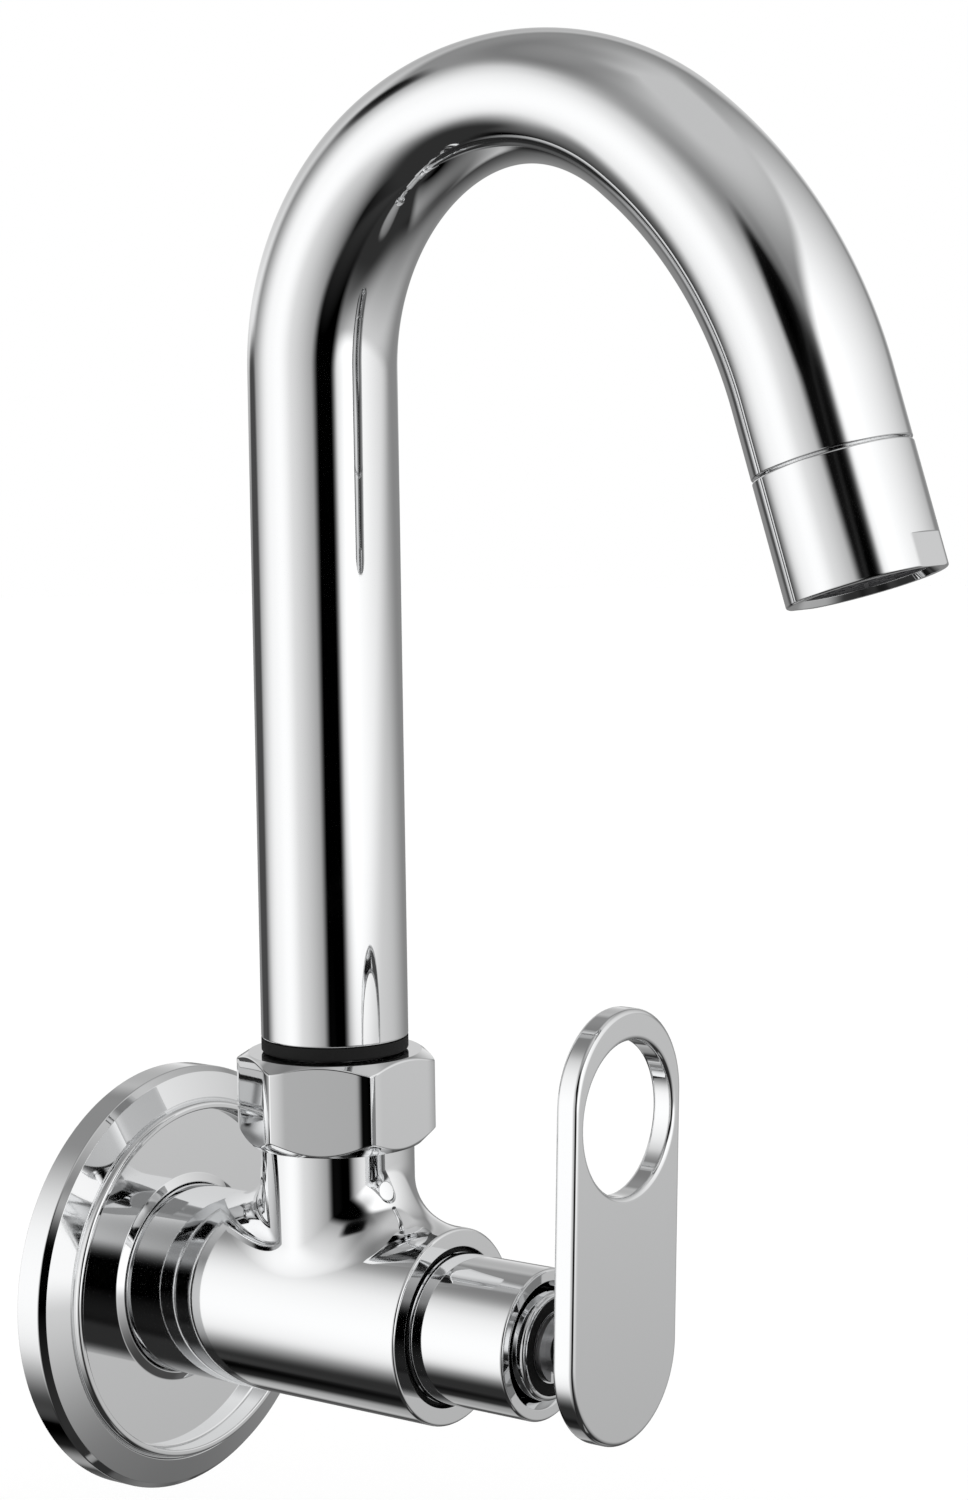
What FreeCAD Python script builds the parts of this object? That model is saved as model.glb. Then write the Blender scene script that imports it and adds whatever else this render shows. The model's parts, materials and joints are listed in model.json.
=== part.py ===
import FreeCAD, Part
import math
import os

# Wall-mounted single-lever sink tap with a swivelling gooseneck spout, in millimetres.
# The origin is on the wall plane, on the barrel's axis. The barrel comes out of the wall along -Y
# and +Z is up. A depth is a distance from the wall plane towards the user, so y = -depth.

Vector = FreeCAD.Vector
ORIGIN = Vector(0, 0, 0)
X_AXIS = Vector(1, 0, 0)
Y_AXIS = Vector(0, 1, 0)
Z_AXIS = Vector(0, 0, 1)

# Clearances
thread_gap = 0.05           # between the plain cylinders that stand for mating threads
running_gap = 0.05          # radial, between turning pieces and their bores
axial_play = 0.10           # between turning pieces and what holds them lengthways
seal_gap = 0.02             # between a seal and the wall that it runs on
press_gap = 0.03            # between pieces pushed or brazed together

# Wall flange
flange_radius = 37.5
flange_rim_height = 4.9
flange_rim_rounding = 0.5
flange_bevel_height = 5.8   # top of the bevel between the rim and the sloping shoulder
flange_bevel_width = 1.2
flange_shoulder_height = 7.3
flange_shoulder_width = 4.2
flange_groove_depth = 0.4   # below the shoulder, at the foot of the bead
flange_groove_width = 0.4
flange_bead_width = 1.5
flange_bead_height = 8.6
flange_bead_slope = 0.3
flange_bead_rounding = 0.6
flange_bead_inner_rounding = 0.3
flange_face_height = 5.05   # of the dished face inside the bead
flange_dish_rounding = 0.4
flange_lip_rise = 0.8       # the face rises in a flat cone where it meets the barrel
flange_lip_width = 1.65
flange_wall = 1.6
flange_collar_wall = 1.5
flange_collar_length = 3.05
flange_hole_gap = 0.15

# Inlet thread: G 1/2, drawn as a plain cylinder of its major radius
inlet_thread_radius = 10.48
inlet_thread_reach = 14.0   # behind the wall plane
inlet_bore_radius = 7.0
inlet_end_chamfer = 1.2

# Barrel
barrel_radius = 16.6
barrel_back = 2.0
barrel_length = 62.5
barrel_edge_rounding = 0.5
flange_ring_setback = 1.35  # groove centre behind the flange's face
flange_ring_width = 1.9
flange_ring_groove = 1.4    # groove depth

# Neck: G 3/4 outside, drawn plain
spout_axis_depth = 40.0
neck_radius = 13.22
neck_top = 37.0
neck_fillet = 10.0
neck_edge_chamfer = 0.6
neck_passage_radius = 8.0

# Valve chamber inside the barrel
seat_setback = 14.0         # valve seat behind the spout's axis
seat_pocket_length = 3.0
seat_pocket_radius = 10.6
chamber_radius = 13.0
valve_thread_radius = 12.0
valve_thread_length = 12.0
front_recess_length = 2.5
front_recess_step = 1.5

# Union nut
nut_wall = 1.73             # from the thread to a flat, which makes it 30 across flats
nut_rise = 7.5              # nut top above the neck
nut_height = 15.5
nut_land_inset = 0.4        # from a flat in to the round land on each end
nut_top_chamfer = 33.0      # slopes of the end chamfers, degrees
nut_bottom_chamfer = 45.0
nut_turn = -1.0             # how the hexagon ends up when it is tight
nut_corner_rounding = 0.5
nut_lip_gap = 0.15

# Spout stem and its seals in the neck
stem_radius = 10.3
stem_insertion = 15.0
stem_plug_length = 13.0
stem_end_chamfer = 0.8
stem_ring_groove = 1.55
stem_ring_width = 2.4
stem_ring_drops = (3.0, 10.0)   # ring centres below the neck's top
stem_wall = 0.95            # under the ring grooves
washer_inset = 1.22         # from the neck's outside in to the slip washer's edge
slip_washer_thickness = 1.2
retaining_ring_inset = 0.1  # from the slip washer's edge in to the ring's
retaining_ring_thickness = 1.5
retaining_ring_groove = 0.95
retaining_ring_slot = 2.4

# Spout tube
tube_radius = 12.5
tube_wall = 1.2
foot_ring_gap = 0.3         # between the nut and the rubber ring under the tube
foot_ring_height = 2.2
foot_ring_rounding = 0.4
tube_leg_length = 112.5     # straight stretch above that ring
first_bend_radius = 42.0
first_bend_angle = 126.0
second_bend_radius = 76.0
second_bend_angle = 36.5
tail_length = 11.0
bend_flattening = 0.17      # how much thinner the bend is in its own plane
bend_spread = 0.05          # how much wider it is across that plane
bend_sections = 25

# Outlet: M 22 thread, drawn plain
ferrule_plug_setback = 1.0  # ferrule's inner end before the start of the tail
ferrule_thread_length = 7.0
ferrule_wall = 2.1
aerator_length = 20.0
aerator_seam = 0.3
aerator_shell_wall = 1.45
aerator_bore_step = 0.5
aerator_washer_thickness = 1.4
aerator_washer_width = 3.0
aerator_lip_wall = 1.3
aerator_flat_depth = 0.7
aerator_flat_height = 5.2
aerator_edge_rounding = 0.35
insert_gap = 0.1
insert_wall = 1.2
insert_recess = 1.0         # how far the insert's grille lies inside the mouth
insert_slots = 8
insert_slot_width = 1.6
insert_slot_height = 2.6
grille_thickness = 1.6
grille_eye_radius = 2.0     # middle of the innermost ring
grille_rings = 3
grille_spokes = 12
grille_bar = 0.7
screen_thickness = 0.4
screen_spacing = 1.6
screen_count = 2
screen_hole_radius = 0.55
screen_hole_pitch = 2.1

# Valve (ceramic-disc headwork) in the barrel
cage_gap = 0.1
cage_wall = 1.9
disc_seal_length = 2.6
disc_thickness = 2.5
disc_gap = 0.1
disc_port_inner = 2.2
disc_port_outer = 6.0
disc_port_angle = 80.0
disc_lug_width = 2.6
disc_lug_height = 0.8
drive_slot_width = 3.0
drive_slot_depth = 1.1
foot_gap_height = 4.0       # room for the water between turning disc and foot
foot_thickness = 2.0
thrust_washer_thickness = 0.8
window_width = 12.0
spindle_radius = 4.3
spindle_ring_groove = 1.35
spindle_ring_width = 2.0
spindle_ring_setbacks = (35.2, 29.2)    # ring centres behind the valve neck's end
valve_shoulder_gap = 0.9
valve_neck_radius = 9.0
valve_neck_reach = 1.7      # valve neck's end in front of the sleeve
valve_neck_rounding = 0.7
dust_ring_outer = 8.1       # groove for the dust ring in the neck's front face
dust_ring_inner = 6.0
dust_ring_length = 1.2
dust_ring_sink = 0.2
circlip_thickness = 0.9
circlip_groove = 0.7
circlip_width = 2.2
circlip_opening = 5.0

# Sleeve over the valve neck
sleeve_wall = 3.0
sleeve_length = 19.0
sleeve_edge_rounding = 0.5
sleeve_root_chamfer = 0.4
sleeve_mouth_gap = 0.6      # around the valve neck, in front of the thread
sleeve_mouth_bevel = 1.0
sleeve_thread_length = 10.0

# Lever
hub_radius = 8.0
hub_length = 4.9
hub_gap = 6.5               # from the sleeve's front to the hub's back
hub_edge_chamfer = 0.5
hub_spigot_wall = 1.2
hub_spigot_length = 1.8
hub_end_wall = 1.0          # between the spline socket and the spigot's end
spline_teeth = 20
spline_outer = 3.95
spline_tooth_height = 0.45
lever_thickness = 4.2
lever_half_width = 15.0
lever_top_centre = 42.0
lever_bottom_centre = 1.0
lever_rim = 2.4             # beside the hole
lever_hole_drop = 2.8       # hole centre below the centre of the lever's round top
lever_edge_rounding = 0.6
lever_lean = 2.6            # clocking of the lever on its spline, degrees from plumb
grub_radius = 1.5
grub_hex = 1.5
grub_hex_depth = 1.8
grub_sink = 0.4

# Tools of the model, not of the object
cut_margin = 1.0            # how far a cutting shape goes past the face that it opens
same_place = 0.01           # two places closer than this are one

# Places worked out from the sizes above
barrel_front = barrel_back + barrel_length
flange_ring_depth = flange_face_height - flange_ring_setback
flange_ring_root = barrel_radius - flange_ring_groove
neck_axis = Vector(0, -spout_axis_depth, 0)
nut_across_flats = 2 * (neck_radius + thread_gap + nut_wall)
nut_land_radius = nut_across_flats / 2 - nut_land_inset
nut_top = neck_top + nut_rise
nut_bottom = nut_top - nut_height
stem_bottom = neck_top - stem_insertion
stem_bore_in_neck = stem_radius + running_gap
stem_ring_root = stem_radius - stem_ring_groove
stem_bore_radius = stem_ring_root - stem_wall
stem_ring_heights = [neck_top - drop for drop in stem_ring_drops]
slip_washer_radius = neck_radius - washer_inset
slip_washer_top = neck_top + slip_washer_thickness
retaining_ring_radius = slip_washer_radius - retaining_ring_inset
retaining_ring_root = stem_radius - retaining_ring_groove
retaining_ring_bottom = slip_washer_top + axial_play
retaining_ring_top = retaining_ring_bottom + retaining_ring_thickness
nut_lip_bottom = retaining_ring_top + axial_play
foot_ring_bottom = nut_top + foot_ring_gap
tube_bottom = foot_ring_bottom + foot_ring_height
tube_inner = tube_radius - tube_wall
tube_leg_top = tube_bottom + tube_leg_length
total_bend = first_bend_angle + second_bend_angle
ferrule_plug_length = tail_length - ferrule_plug_setback
ferrule_thread_radius = tube_radius - aerator_shell_wall - thread_gap
ferrule_bore_radius = tube_inner - ferrule_wall
aerator_bore_radius = ferrule_thread_radius - aerator_bore_step
aerator_washer_end = ferrule_thread_length + aerator_washer_thickness
insert_outer = aerator_bore_radius - insert_gap
insert_inner = insert_outer - insert_wall
insert_mouth = aerator_length - insert_recess
grille_back = insert_mouth - grille_thickness
seat_depth = spout_axis_depth - seat_setback
seat_pocket_end = seat_depth + seat_pocket_length
valve_thread_end = barrel_front - front_recess_length
chamber_end = valve_thread_end - valve_thread_length
front_recess_radius = valve_thread_radius + front_recess_step
cage_radius = seat_pocket_radius - cage_gap
disc_bore_radius = cage_radius - cage_wall
disc_radius = disc_bore_radius - disc_gap
fixed_disc_depth = seat_depth + disc_seal_length
turning_disc_depth = fixed_disc_depth + disc_thickness
turning_disc_end = turning_disc_depth + disc_thickness
foot_depth = turning_disc_end + foot_gap_height
thrust_washer_depth = foot_depth + foot_thickness
disc_bore_end = thrust_washer_depth + thrust_washer_thickness
valve_ring_root = valve_thread_radius - thread_gap
valve_ring_section = (front_recess_radius - seal_gap - valve_ring_root) / 2
valve_shoulder_radius = front_recess_radius - valve_shoulder_gap
sleeve_front = barrel_front + sleeve_length
sleeve_mouth_radius = valve_neck_radius + sleeve_mouth_gap
sleeve_radius = sleeve_mouth_radius + sleeve_wall
valve_neck_end = sleeve_front + valve_neck_reach
spindle_ring_root = spindle_radius - spindle_ring_groove
spindle_ring_depths = [valve_neck_end - setback for setback in spindle_ring_setbacks]
dust_ring_seat = valve_neck_end - dust_ring_sink - dust_ring_length
circlip_start = valve_neck_end + axial_play
circlip_end = circlip_start + circlip_thickness
circlip_root = spindle_radius - circlip_groove
circlip_radius = circlip_root + circlip_width
hub_back = sleeve_front + hub_gap
lever_back = hub_back + hub_length
spindle_end = lever_back + hub_spigot_length - hub_end_wall
spline_root = spline_outer - spline_tooth_height
hub_spigot_radius = spline_outer + hub_spigot_wall
lever_hole_radius = lever_half_width - lever_rim
lever_hole_height = lever_top_centre - lever_hole_drop


def rounded_wire(corners, place):
    """Closed wire through (a, b) or (a, b, rounding) corners, put in space by place(a, b)."""
    count = len(corners)
    starts = []
    middles = []
    ends = []
    for index, corner in enumerate(corners):
        here = Vector(corner[0], corner[1], 0)
        rounding = corner[2] if len(corner) > 2 else 0.0
        before = Vector(corners[index - 1][0], corners[index - 1][1], 0) - here
        after = Vector(corners[(index + 1) % count][0], corners[(index + 1) % count][1], 0) - here
        before.normalize()
        after.normalize()
        if rounding > 0:
            half = before.getAngle(after) / 2
            cut = rounding / math.tan(half)
            bisector = before + after
            bisector.normalize()
            starts.append(here + before * cut)
            ends.append(here + after * cut)
            middles.append(here + bisector * (rounding / math.sin(half) - rounding))
        else:
            starts.append(here)
            ends.append(here)
            middles.append(None)
    edges = []
    for index in range(count):
        if middles[index] is not None:
            three = [place(p.x, p.y) for p in (starts[index], middles[index], ends[index])]
            edges.append(Part.Arc(*three).toShape())
        here = place(ends[index].x, ends[index].y)
        there = place(starts[(index + 1) % count].x, starts[(index + 1) % count].y)
        if here.distanceToPoint(there) > same_place / 100:
            edges.append(Part.makeLine(here, there))
    return Part.Wire(edges)


def turned_on_barrel(corners):
    """Solid of revolution about the barrel's axis, from (depth, radius) corners."""
    wire = rounded_wire(corners, lambda depth, radius: Vector(0, -depth, radius))
    return Part.Face(wire).revolve(ORIGIN, Y_AXIS, 360)


def turned_on_neck(corners):
    """Solid of revolution about the neck's axis, from (height, radius) corners."""
    wire = rounded_wire(corners, lambda height, radius: neck_axis + Vector(radius, 0, height))
    return Part.Face(wire).revolve(neck_axis, Z_AXIS, 360)


def turned_on_z(corners):
    """Solid of revolution about Z, from (height, radius) corners."""
    wire = rounded_wire(corners, lambda height, radius: Vector(radius, 0, height))
    return Part.Face(wire).revolve(ORIGIN, Z_AXIS, 360)


def barrel_rod(radius, start, end):
    """Cylinder on the barrel's axis between two depths."""
    return Part.makeCylinder(radius, end - start, Vector(0, -start, 0), -Y_AXIS)


def neck_rod(radius, bottom, top):
    """Cylinder on the neck's axis between two heights."""
    return Part.makeCylinder(radius, top - bottom, neck_axis + Vector(0, 0, bottom), Z_AXIS)


def seal_ring(root, wall, centre, axis):
    """Round rubber ring squeezed between a groove's root and the wall that it seals on."""
    section = (wall - seal_gap - root) / 2
    return Part.makeTorus(root + section, section, centre, axis)


def polygon_prism(points, direction):
    """Prism on a flat polygon."""
    face = Part.Face(Part.makePolygon(points + [points[0]]))
    return face.extrude(direction)


def spout_point(angle):
    """Centre of the bent tube where it has turned through an angle, and its direction there."""
    turned = math.radians(min(angle, first_bend_angle))
    out = first_bend_radius * (1 - math.cos(turned))
    up = first_bend_radius * math.sin(turned)
    if angle > first_bend_angle:
        begin = math.radians(first_bend_angle)
        end = math.radians(angle)
        out += second_bend_radius * (math.cos(begin) - math.cos(end))
        up += second_bend_radius * (math.sin(end) - math.sin(begin))
    heading = math.radians(angle)
    centre = neck_axis + Vector(0, -out, tube_leg_top + up)
    return centre, Vector(0, -math.sin(heading), math.cos(heading))


def bend_section(angle, radius):
    """Oval outline of the bend where it has turned through an angle."""
    centre, along = spout_point(angle)
    share = math.sin(math.pi * angle / total_bend) ** 2
    thin = radius * (1 - bend_flattening * share)
    wide = radius * (1 + bend_spread * share)
    oval = Part.Ellipse(centre, wide, thin)
    oval.Axis = along
    oval.XAxis = X_AXIS
    return Part.Wire(oval.toShape())


def tube_body(radius):
    """The whole spout as a filled rod: straight leg, oval bend and straight tail."""
    leg = neck_rod(radius, tube_bottom, tube_leg_top)
    first_length = first_bend_radius * math.radians(first_bend_angle)
    second_length = second_bend_radius * math.radians(second_bend_angle)
    sections = []
    for step in range(bend_sections):
        length = (first_length + second_length) * step / (bend_sections - 1)
        angle = math.degrees(min(length, first_length) / first_bend_radius)
        angle += math.degrees(max(length - first_length, 0) / second_bend_radius)
        sections.append(bend_section(angle, radius))
    bend = Part.makeLoft(sections, True, False)
    end, along = spout_point(total_bend)
    tail = Part.makeCylinder(radius, tail_length, end, along)
    return leg.fuse([bend, tail])


def at_outlet(shape):
    """Move a shape made about Z, starting at zero, to the end of the spout tube."""
    end, along = spout_point(total_bend)
    moved = shape.copy()
    moved.Placement = FreeCAD.Placement(end + along * tail_length, FreeCAD.Rotation(Z_AXIS, along))
    return moved


def leaned(shape):
    """Turn a piece of the lever's group by the lever's clocking."""
    moved = shape.copy()
    moved.rotate(ORIGIN, Y_AXIS, lever_lean)
    return moved


def make_wall_flange():
    shoulder_outer = flange_radius - flange_bevel_width
    shoulder_inner = shoulder_outer - flange_shoulder_width
    bead_outer = shoulder_inner - flange_groove_width
    bead_inner = bead_outer - flange_bead_width
    dish_wall = bead_inner + flange_wall
    hole = barrel_radius + flange_hole_gap
    inner_depth = flange_face_height - flange_wall
    collar_end = inner_depth - flange_collar_length
    corners = [
        (0, flange_radius),
        (flange_rim_height, flange_radius, flange_rim_rounding),
        (flange_bevel_height, shoulder_outer),
        (flange_shoulder_height, shoulder_inner),
        (flange_shoulder_height - flange_groove_depth, bead_outer),
        (flange_bead_height, bead_outer - flange_bead_slope, flange_bead_rounding),
        (flange_bead_height, bead_inner, flange_bead_inner_rounding),
        (flange_face_height, bead_inner, flange_dish_rounding),
        (flange_face_height, hole + flange_lip_width),
        (flange_face_height + flange_lip_rise, hole),
        (collar_end, hole),
        (collar_end, hole + flange_collar_wall),
        (inner_depth, hole + flange_collar_wall),
        (inner_depth, dish_wall),
        (flange_shoulder_height - flange_wall, dish_wall),
        (flange_bevel_height - flange_wall, flange_radius - flange_wall),
        (0, flange_radius - flange_wall),
    ]
    return turned_on_barrel(corners)


def make_tap_body():
    barrel = turned_on_barrel([
        (-inlet_thread_reach, 0),
        (-inlet_thread_reach, inlet_thread_radius - inlet_end_chamfer),
        (-inlet_thread_reach + inlet_end_chamfer, inlet_thread_radius),
        (barrel_back, inlet_thread_radius),
        (barrel_back, barrel_radius),
        (barrel_front, barrel_radius),
        (barrel_front, 0),
    ])
    neck = neck_rod(neck_radius, 0, neck_top)
    solid = barrel.fuse(neck)
    joint = []
    for edge in solid.Edges:
        points = edge.discretize(9)
        off_barrel = max(abs(math.hypot(p.x, p.z) - barrel_radius) for p in points)
        off_neck = max(abs(math.hypot(p.x, p.y + spout_axis_depth) - neck_radius) for p in points)
        if max(off_barrel, off_neck) < same_place:
            joint.append(edge)
    solid = solid.makeFillet(neck_fillet, joint)
    front = [edge for edge in solid.Edges if is_round(edge, barrel_radius, -barrel_front, "y")]
    solid = solid.makeFillet(barrel_edge_rounding, front)
    top = [edge for edge in solid.Edges if is_round(edge, neck_radius, neck_top, "z")]
    solid = solid.makeChamfer(neck_edge_chamfer, top)
    hollow = turned_on_barrel([
        (-inlet_thread_reach - cut_margin, 0),
        (-inlet_thread_reach - cut_margin, inlet_bore_radius),
        (seat_depth, inlet_bore_radius),
        (seat_depth, seat_pocket_radius),
        (seat_pocket_end, seat_pocket_radius),
        (seat_pocket_end, chamber_radius),
        (chamber_end, chamber_radius),
        (chamber_end, valve_thread_radius),
        (valve_thread_end, valve_thread_radius),
        (valve_thread_end, front_recess_radius),
        (barrel_front + cut_margin, front_recess_radius),
        (barrel_front + cut_margin, 0),
    ])
    passage = neck_rod(neck_passage_radius, 0, neck_top)
    socket = neck_rod(stem_bore_in_neck, stem_bottom - axial_play, neck_top + cut_margin)
    grip = seal_groove(flange_ring_depth, flange_ring_width, flange_ring_root, barrel_radius)
    return solid.cut([hollow, passage, socket, grip])


def is_round(edge, radius, place, axis):
    """True for a full circle of that radius lying at that place along an axis."""
    curve = edge.Curve
    if not isinstance(curve, Part.Circle) or abs(curve.Radius - radius) > same_place:
        return False
    return abs(getattr(curve.Center, axis) - place) < same_place


def seal_groove(depth, width, root, wall):
    """Ring-shaped groove on the barrel's axis, centred on a depth."""
    return turned_on_barrel([
        (depth - width / 2, root),
        (depth - width / 2, wall + cut_margin),
        (depth + width / 2, wall + cut_margin),
        (depth + width / 2, root),
    ])


def make_flange_ring():
    wall = barrel_radius + flange_hole_gap
    return seal_ring(flange_ring_root, wall, Vector(0, -flange_ring_depth, 0), Y_AXIS)


def make_spout_nut():
    corner = nut_across_flats / math.sqrt(3)
    points = []
    for step in range(6):
        angle = math.radians(nut_turn + 60 * step)
        place = Vector(corner * math.cos(angle), corner * math.sin(angle), nut_bottom)
        points.append(neck_axis + place)
    prism = polygon_prism(points, Vector(0, 0, nut_height))
    upright = [edge for edge in prism.Edges if abs(edge.tangentAt(edge.FirstParameter).z) > 0.9]
    prism = prism.makeFillet(nut_corner_rounding, upright)
    bottom_slope = (corner - nut_land_radius) * math.tan(math.radians(nut_bottom_chamfer))
    top_slope = (corner - nut_land_radius) * math.tan(math.radians(nut_top_chamfer))
    turned = turned_on_neck([
        (nut_bottom, 0),
        (nut_bottom, nut_land_radius),
        (nut_bottom + bottom_slope, corner),
        (nut_top - top_slope, corner),
        (nut_top, nut_land_radius),
        (nut_top, 0),
    ])
    thread = neck_rod(neck_radius + thread_gap, nut_bottom - cut_margin, nut_lip_bottom)
    lip = neck_rod(stem_radius + nut_lip_gap, nut_bottom, nut_top + cut_margin)
    return prism.common(turned).cut([thread, lip])


def make_slip_washer():
    return turned_on_neck([
        (neck_top, stem_radius + running_gap),
        (neck_top, slip_washer_radius),
        (slip_washer_top, slip_washer_radius),
        (slip_washer_top, stem_radius + running_gap),
    ])


def make_retaining_ring():
    ring = turned_on_neck([
        (retaining_ring_bottom, retaining_ring_root),
        (retaining_ring_bottom, retaining_ring_radius),
        (retaining_ring_top, retaining_ring_radius),
        (retaining_ring_top, retaining_ring_root),
    ])
    corner = neck_axis + Vector(0, -retaining_ring_slot / 2, retaining_ring_bottom - cut_margin)
    reach = retaining_ring_radius + cut_margin
    slot = Part.makeBox(reach, retaining_ring_slot, retaining_ring_thickness + 2 * cut_margin, corner)
    return ring.cut(slot)


def make_spout_stem():
    corners = [
        (stem_bottom, stem_bore_radius),
        (stem_bottom, stem_radius - stem_end_chamfer),
        (stem_bottom + stem_end_chamfer, stem_radius),
    ]
    for height in sorted(stem_ring_heights):
        low = height - stem_ring_width / 2
        high = height + stem_ring_width / 2
        corners += [(low, stem_radius), (low, stem_ring_root), (high, stem_ring_root), (high, stem_radius)]
    corners += [
        (retaining_ring_bottom, stem_radius),
        (retaining_ring_bottom, retaining_ring_root),
        (retaining_ring_top, retaining_ring_root),
        (retaining_ring_top, stem_radius),
        (tube_bottom, stem_radius),
        (tube_bottom, tube_inner - press_gap),
        (tube_bottom + stem_plug_length, tube_inner - press_gap),
        (tube_bottom + stem_plug_length, stem_bore_radius),
    ]
    return turned_on_neck(corners)


def make_stem_rings():
    rings = []
    for height in stem_ring_heights:
        rings.append(seal_ring(stem_ring_root, stem_bore_in_neck, neck_axis + Vector(0, 0, height), Z_AXIS))
    return Part.makeCompound(rings)


def make_foot_ring():
    return turned_on_neck([
        (foot_ring_bottom, stem_radius + press_gap),
        (foot_ring_bottom, tube_radius, foot_ring_rounding),
        (tube_bottom, tube_radius),
        (tube_bottom, stem_radius + press_gap),
    ])


def make_spout_tube():
    return tube_body(tube_radius).cut(tube_body(tube_inner))


def make_outlet_ferrule():
    return at_outlet(turned_on_z([
        (-ferrule_plug_length, ferrule_bore_radius),
        (-ferrule_plug_length, tube_inner - press_gap),
        (0, tube_inner - press_gap),
        (0, ferrule_thread_radius),
        (ferrule_thread_length, ferrule_thread_radius),
        (ferrule_thread_length, ferrule_bore_radius),
    ]))


def make_aerator_shell():
    shell = turned_on_z([
        (aerator_seam, ferrule_thread_radius + thread_gap),
        (aerator_seam, tube_radius, aerator_edge_rounding),
        (aerator_length, tube_radius, aerator_edge_rounding),
        (aerator_length, tube_radius - aerator_lip_wall),
        (insert_mouth, aerator_bore_radius),
        (aerator_washer_end, aerator_bore_radius),
        (aerator_washer_end, ferrule_thread_radius + thread_gap),
    ])
    width = 2 * tube_radius
    for turn in (0, 180):
        corner = Vector(-tube_radius, tube_radius - aerator_flat_depth, aerator_length - aerator_flat_height)
        block = Part.makeBox(width, aerator_flat_depth + cut_margin, aerator_flat_height + cut_margin, corner)
        block.rotate(ORIGIN, Z_AXIS, turn)
        shell = shell.cut(block)
    return at_outlet(shell)


def make_aerator_washer():
    outer = ferrule_thread_radius - insert_gap
    inner = ferrule_thread_radius - aerator_washer_width
    return at_outlet(turned_on_z([
        (ferrule_thread_length, inner),
        (ferrule_thread_length, outer),
        (aerator_washer_end, outer),
        (aerator_washer_end, inner),
    ]))


def make_aerator_insert():
    shape = turned_on_z([
        (aerator_washer_end, insert_inner),
        (aerator_washer_end, insert_outer),
        (insert_mouth, insert_outer),
        (insert_mouth, insert_inner),
    ])
    for step in range(insert_slots):
        corner = Vector(0, -insert_slot_width / 2, aerator_washer_end + screen_spacing)
        slot = Part.makeBox(insert_outer + cut_margin, insert_slot_width, insert_slot_height, corner)
        slot.rotate(ORIGIN, Z_AXIS, 360 * step / insert_slots)
        shape = shape.cut(slot)
    bars = []
    for step in range(grille_rings):
        middle = grille_eye_radius + (insert_inner - grille_eye_radius) * step / grille_rings
        bars.append(turned_on_z([
            (grille_back, middle - grille_bar / 2),
            (grille_back, middle + grille_bar / 2),
            (insert_mouth, middle + grille_bar / 2),
            (insert_mouth, middle - grille_bar / 2),
        ]))
    spoke_length = insert_inner + insert_wall / 2 - grille_eye_radius
    for step in range(grille_spokes):
        corner = Vector(grille_eye_radius, -grille_bar / 2, grille_back)
        spoke = Part.makeBox(spoke_length, grille_bar, grille_thickness, corner)
        spoke.rotate(ORIGIN, Z_AXIS, 360 * step / grille_spokes)
        bars.append(spoke)
    return at_outlet(shape.fuse(bars).removeSplitter())


def make_aerator_screens():
    radius = insert_inner - insert_gap
    reach = int(radius / screen_hole_pitch)
    row_pitch = screen_hole_pitch * math.cos(math.radians(30))
    screens = []
    for step in range(screen_count):
        place = grille_back - screen_spacing * step - screen_thickness
        disc = Part.makeCylinder(radius, screen_thickness, Vector(0, 0, place), Z_AXIS)
        holes = []
        for row in range(-reach, reach + 1):
            stagger = screen_hole_pitch / 2 * (row % 2)
            for column in range(-reach, reach + 1):
                x = screen_hole_pitch * column + stagger
                y = row_pitch * row
                if math.hypot(x, y) < radius - 2 * screen_hole_radius:
                    start = Vector(x, y, place - cut_margin)
                    length = screen_thickness + 2 * cut_margin
                    holes.append(Part.makeCylinder(screen_hole_radius, length, start, Z_AXIS))
        screens.append(at_outlet(disc.cut(holes)))
    return Part.makeCompound(screens)


def disc_ports(disc_depth, turn):
    """Cutting shapes for two opposed sector-shaped ports through a disc, turned about its axis."""
    start = disc_depth - cut_margin
    length = disc_thickness + 2 * cut_margin
    ports = []
    for side in (0, 180):
        outer = Part.makeCylinder(disc_port_outer, length, Vector(0, -start, 0), -Y_AXIS, disc_port_angle)
        inner = barrel_rod(disc_port_inner, start - cut_margin, start + length + cut_margin)
        port = outer.cut(inner)
        port.rotate(ORIGIN, Y_AXIS, side + turn)
        ports.append(port)
    return ports


def disc_lugs(start, length, radius, width):
    """Two opposed lugs that keep the fixed disc from turning."""
    reach = 2 * radius
    block = Part.makeBox(reach, length, width, Vector(-reach / 2, -start - length, -width / 2))
    return block.common(barrel_rod(radius, start, start + length))


def make_disc_seal():
    return turned_on_barrel([
        (seat_depth, disc_port_outer),
        (seat_depth, disc_radius),
        (fixed_disc_depth, disc_radius),
        (fixed_disc_depth, disc_port_outer),
    ])


def make_fixed_disc():
    disc = barrel_rod(disc_radius, fixed_disc_depth, turning_disc_depth)
    lugs = disc_lugs(fixed_disc_depth, disc_thickness, disc_radius + disc_lug_height, disc_lug_width)
    return disc.fuse(lugs).cut(disc_ports(fixed_disc_depth, 0)).removeSplitter()


def make_turning_disc():
    disc = barrel_rod(disc_radius - disc_gap, turning_disc_depth + seal_gap, turning_disc_end)
    corner = Vector(-disc_radius, -turning_disc_end, -drive_slot_width / 2)
    slot = Part.makeBox(2 * disc_radius, drive_slot_depth, drive_slot_width, corner)
    return leaned(disc.cut(disc_ports(turning_disc_depth, 90) + [slot]))


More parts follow.
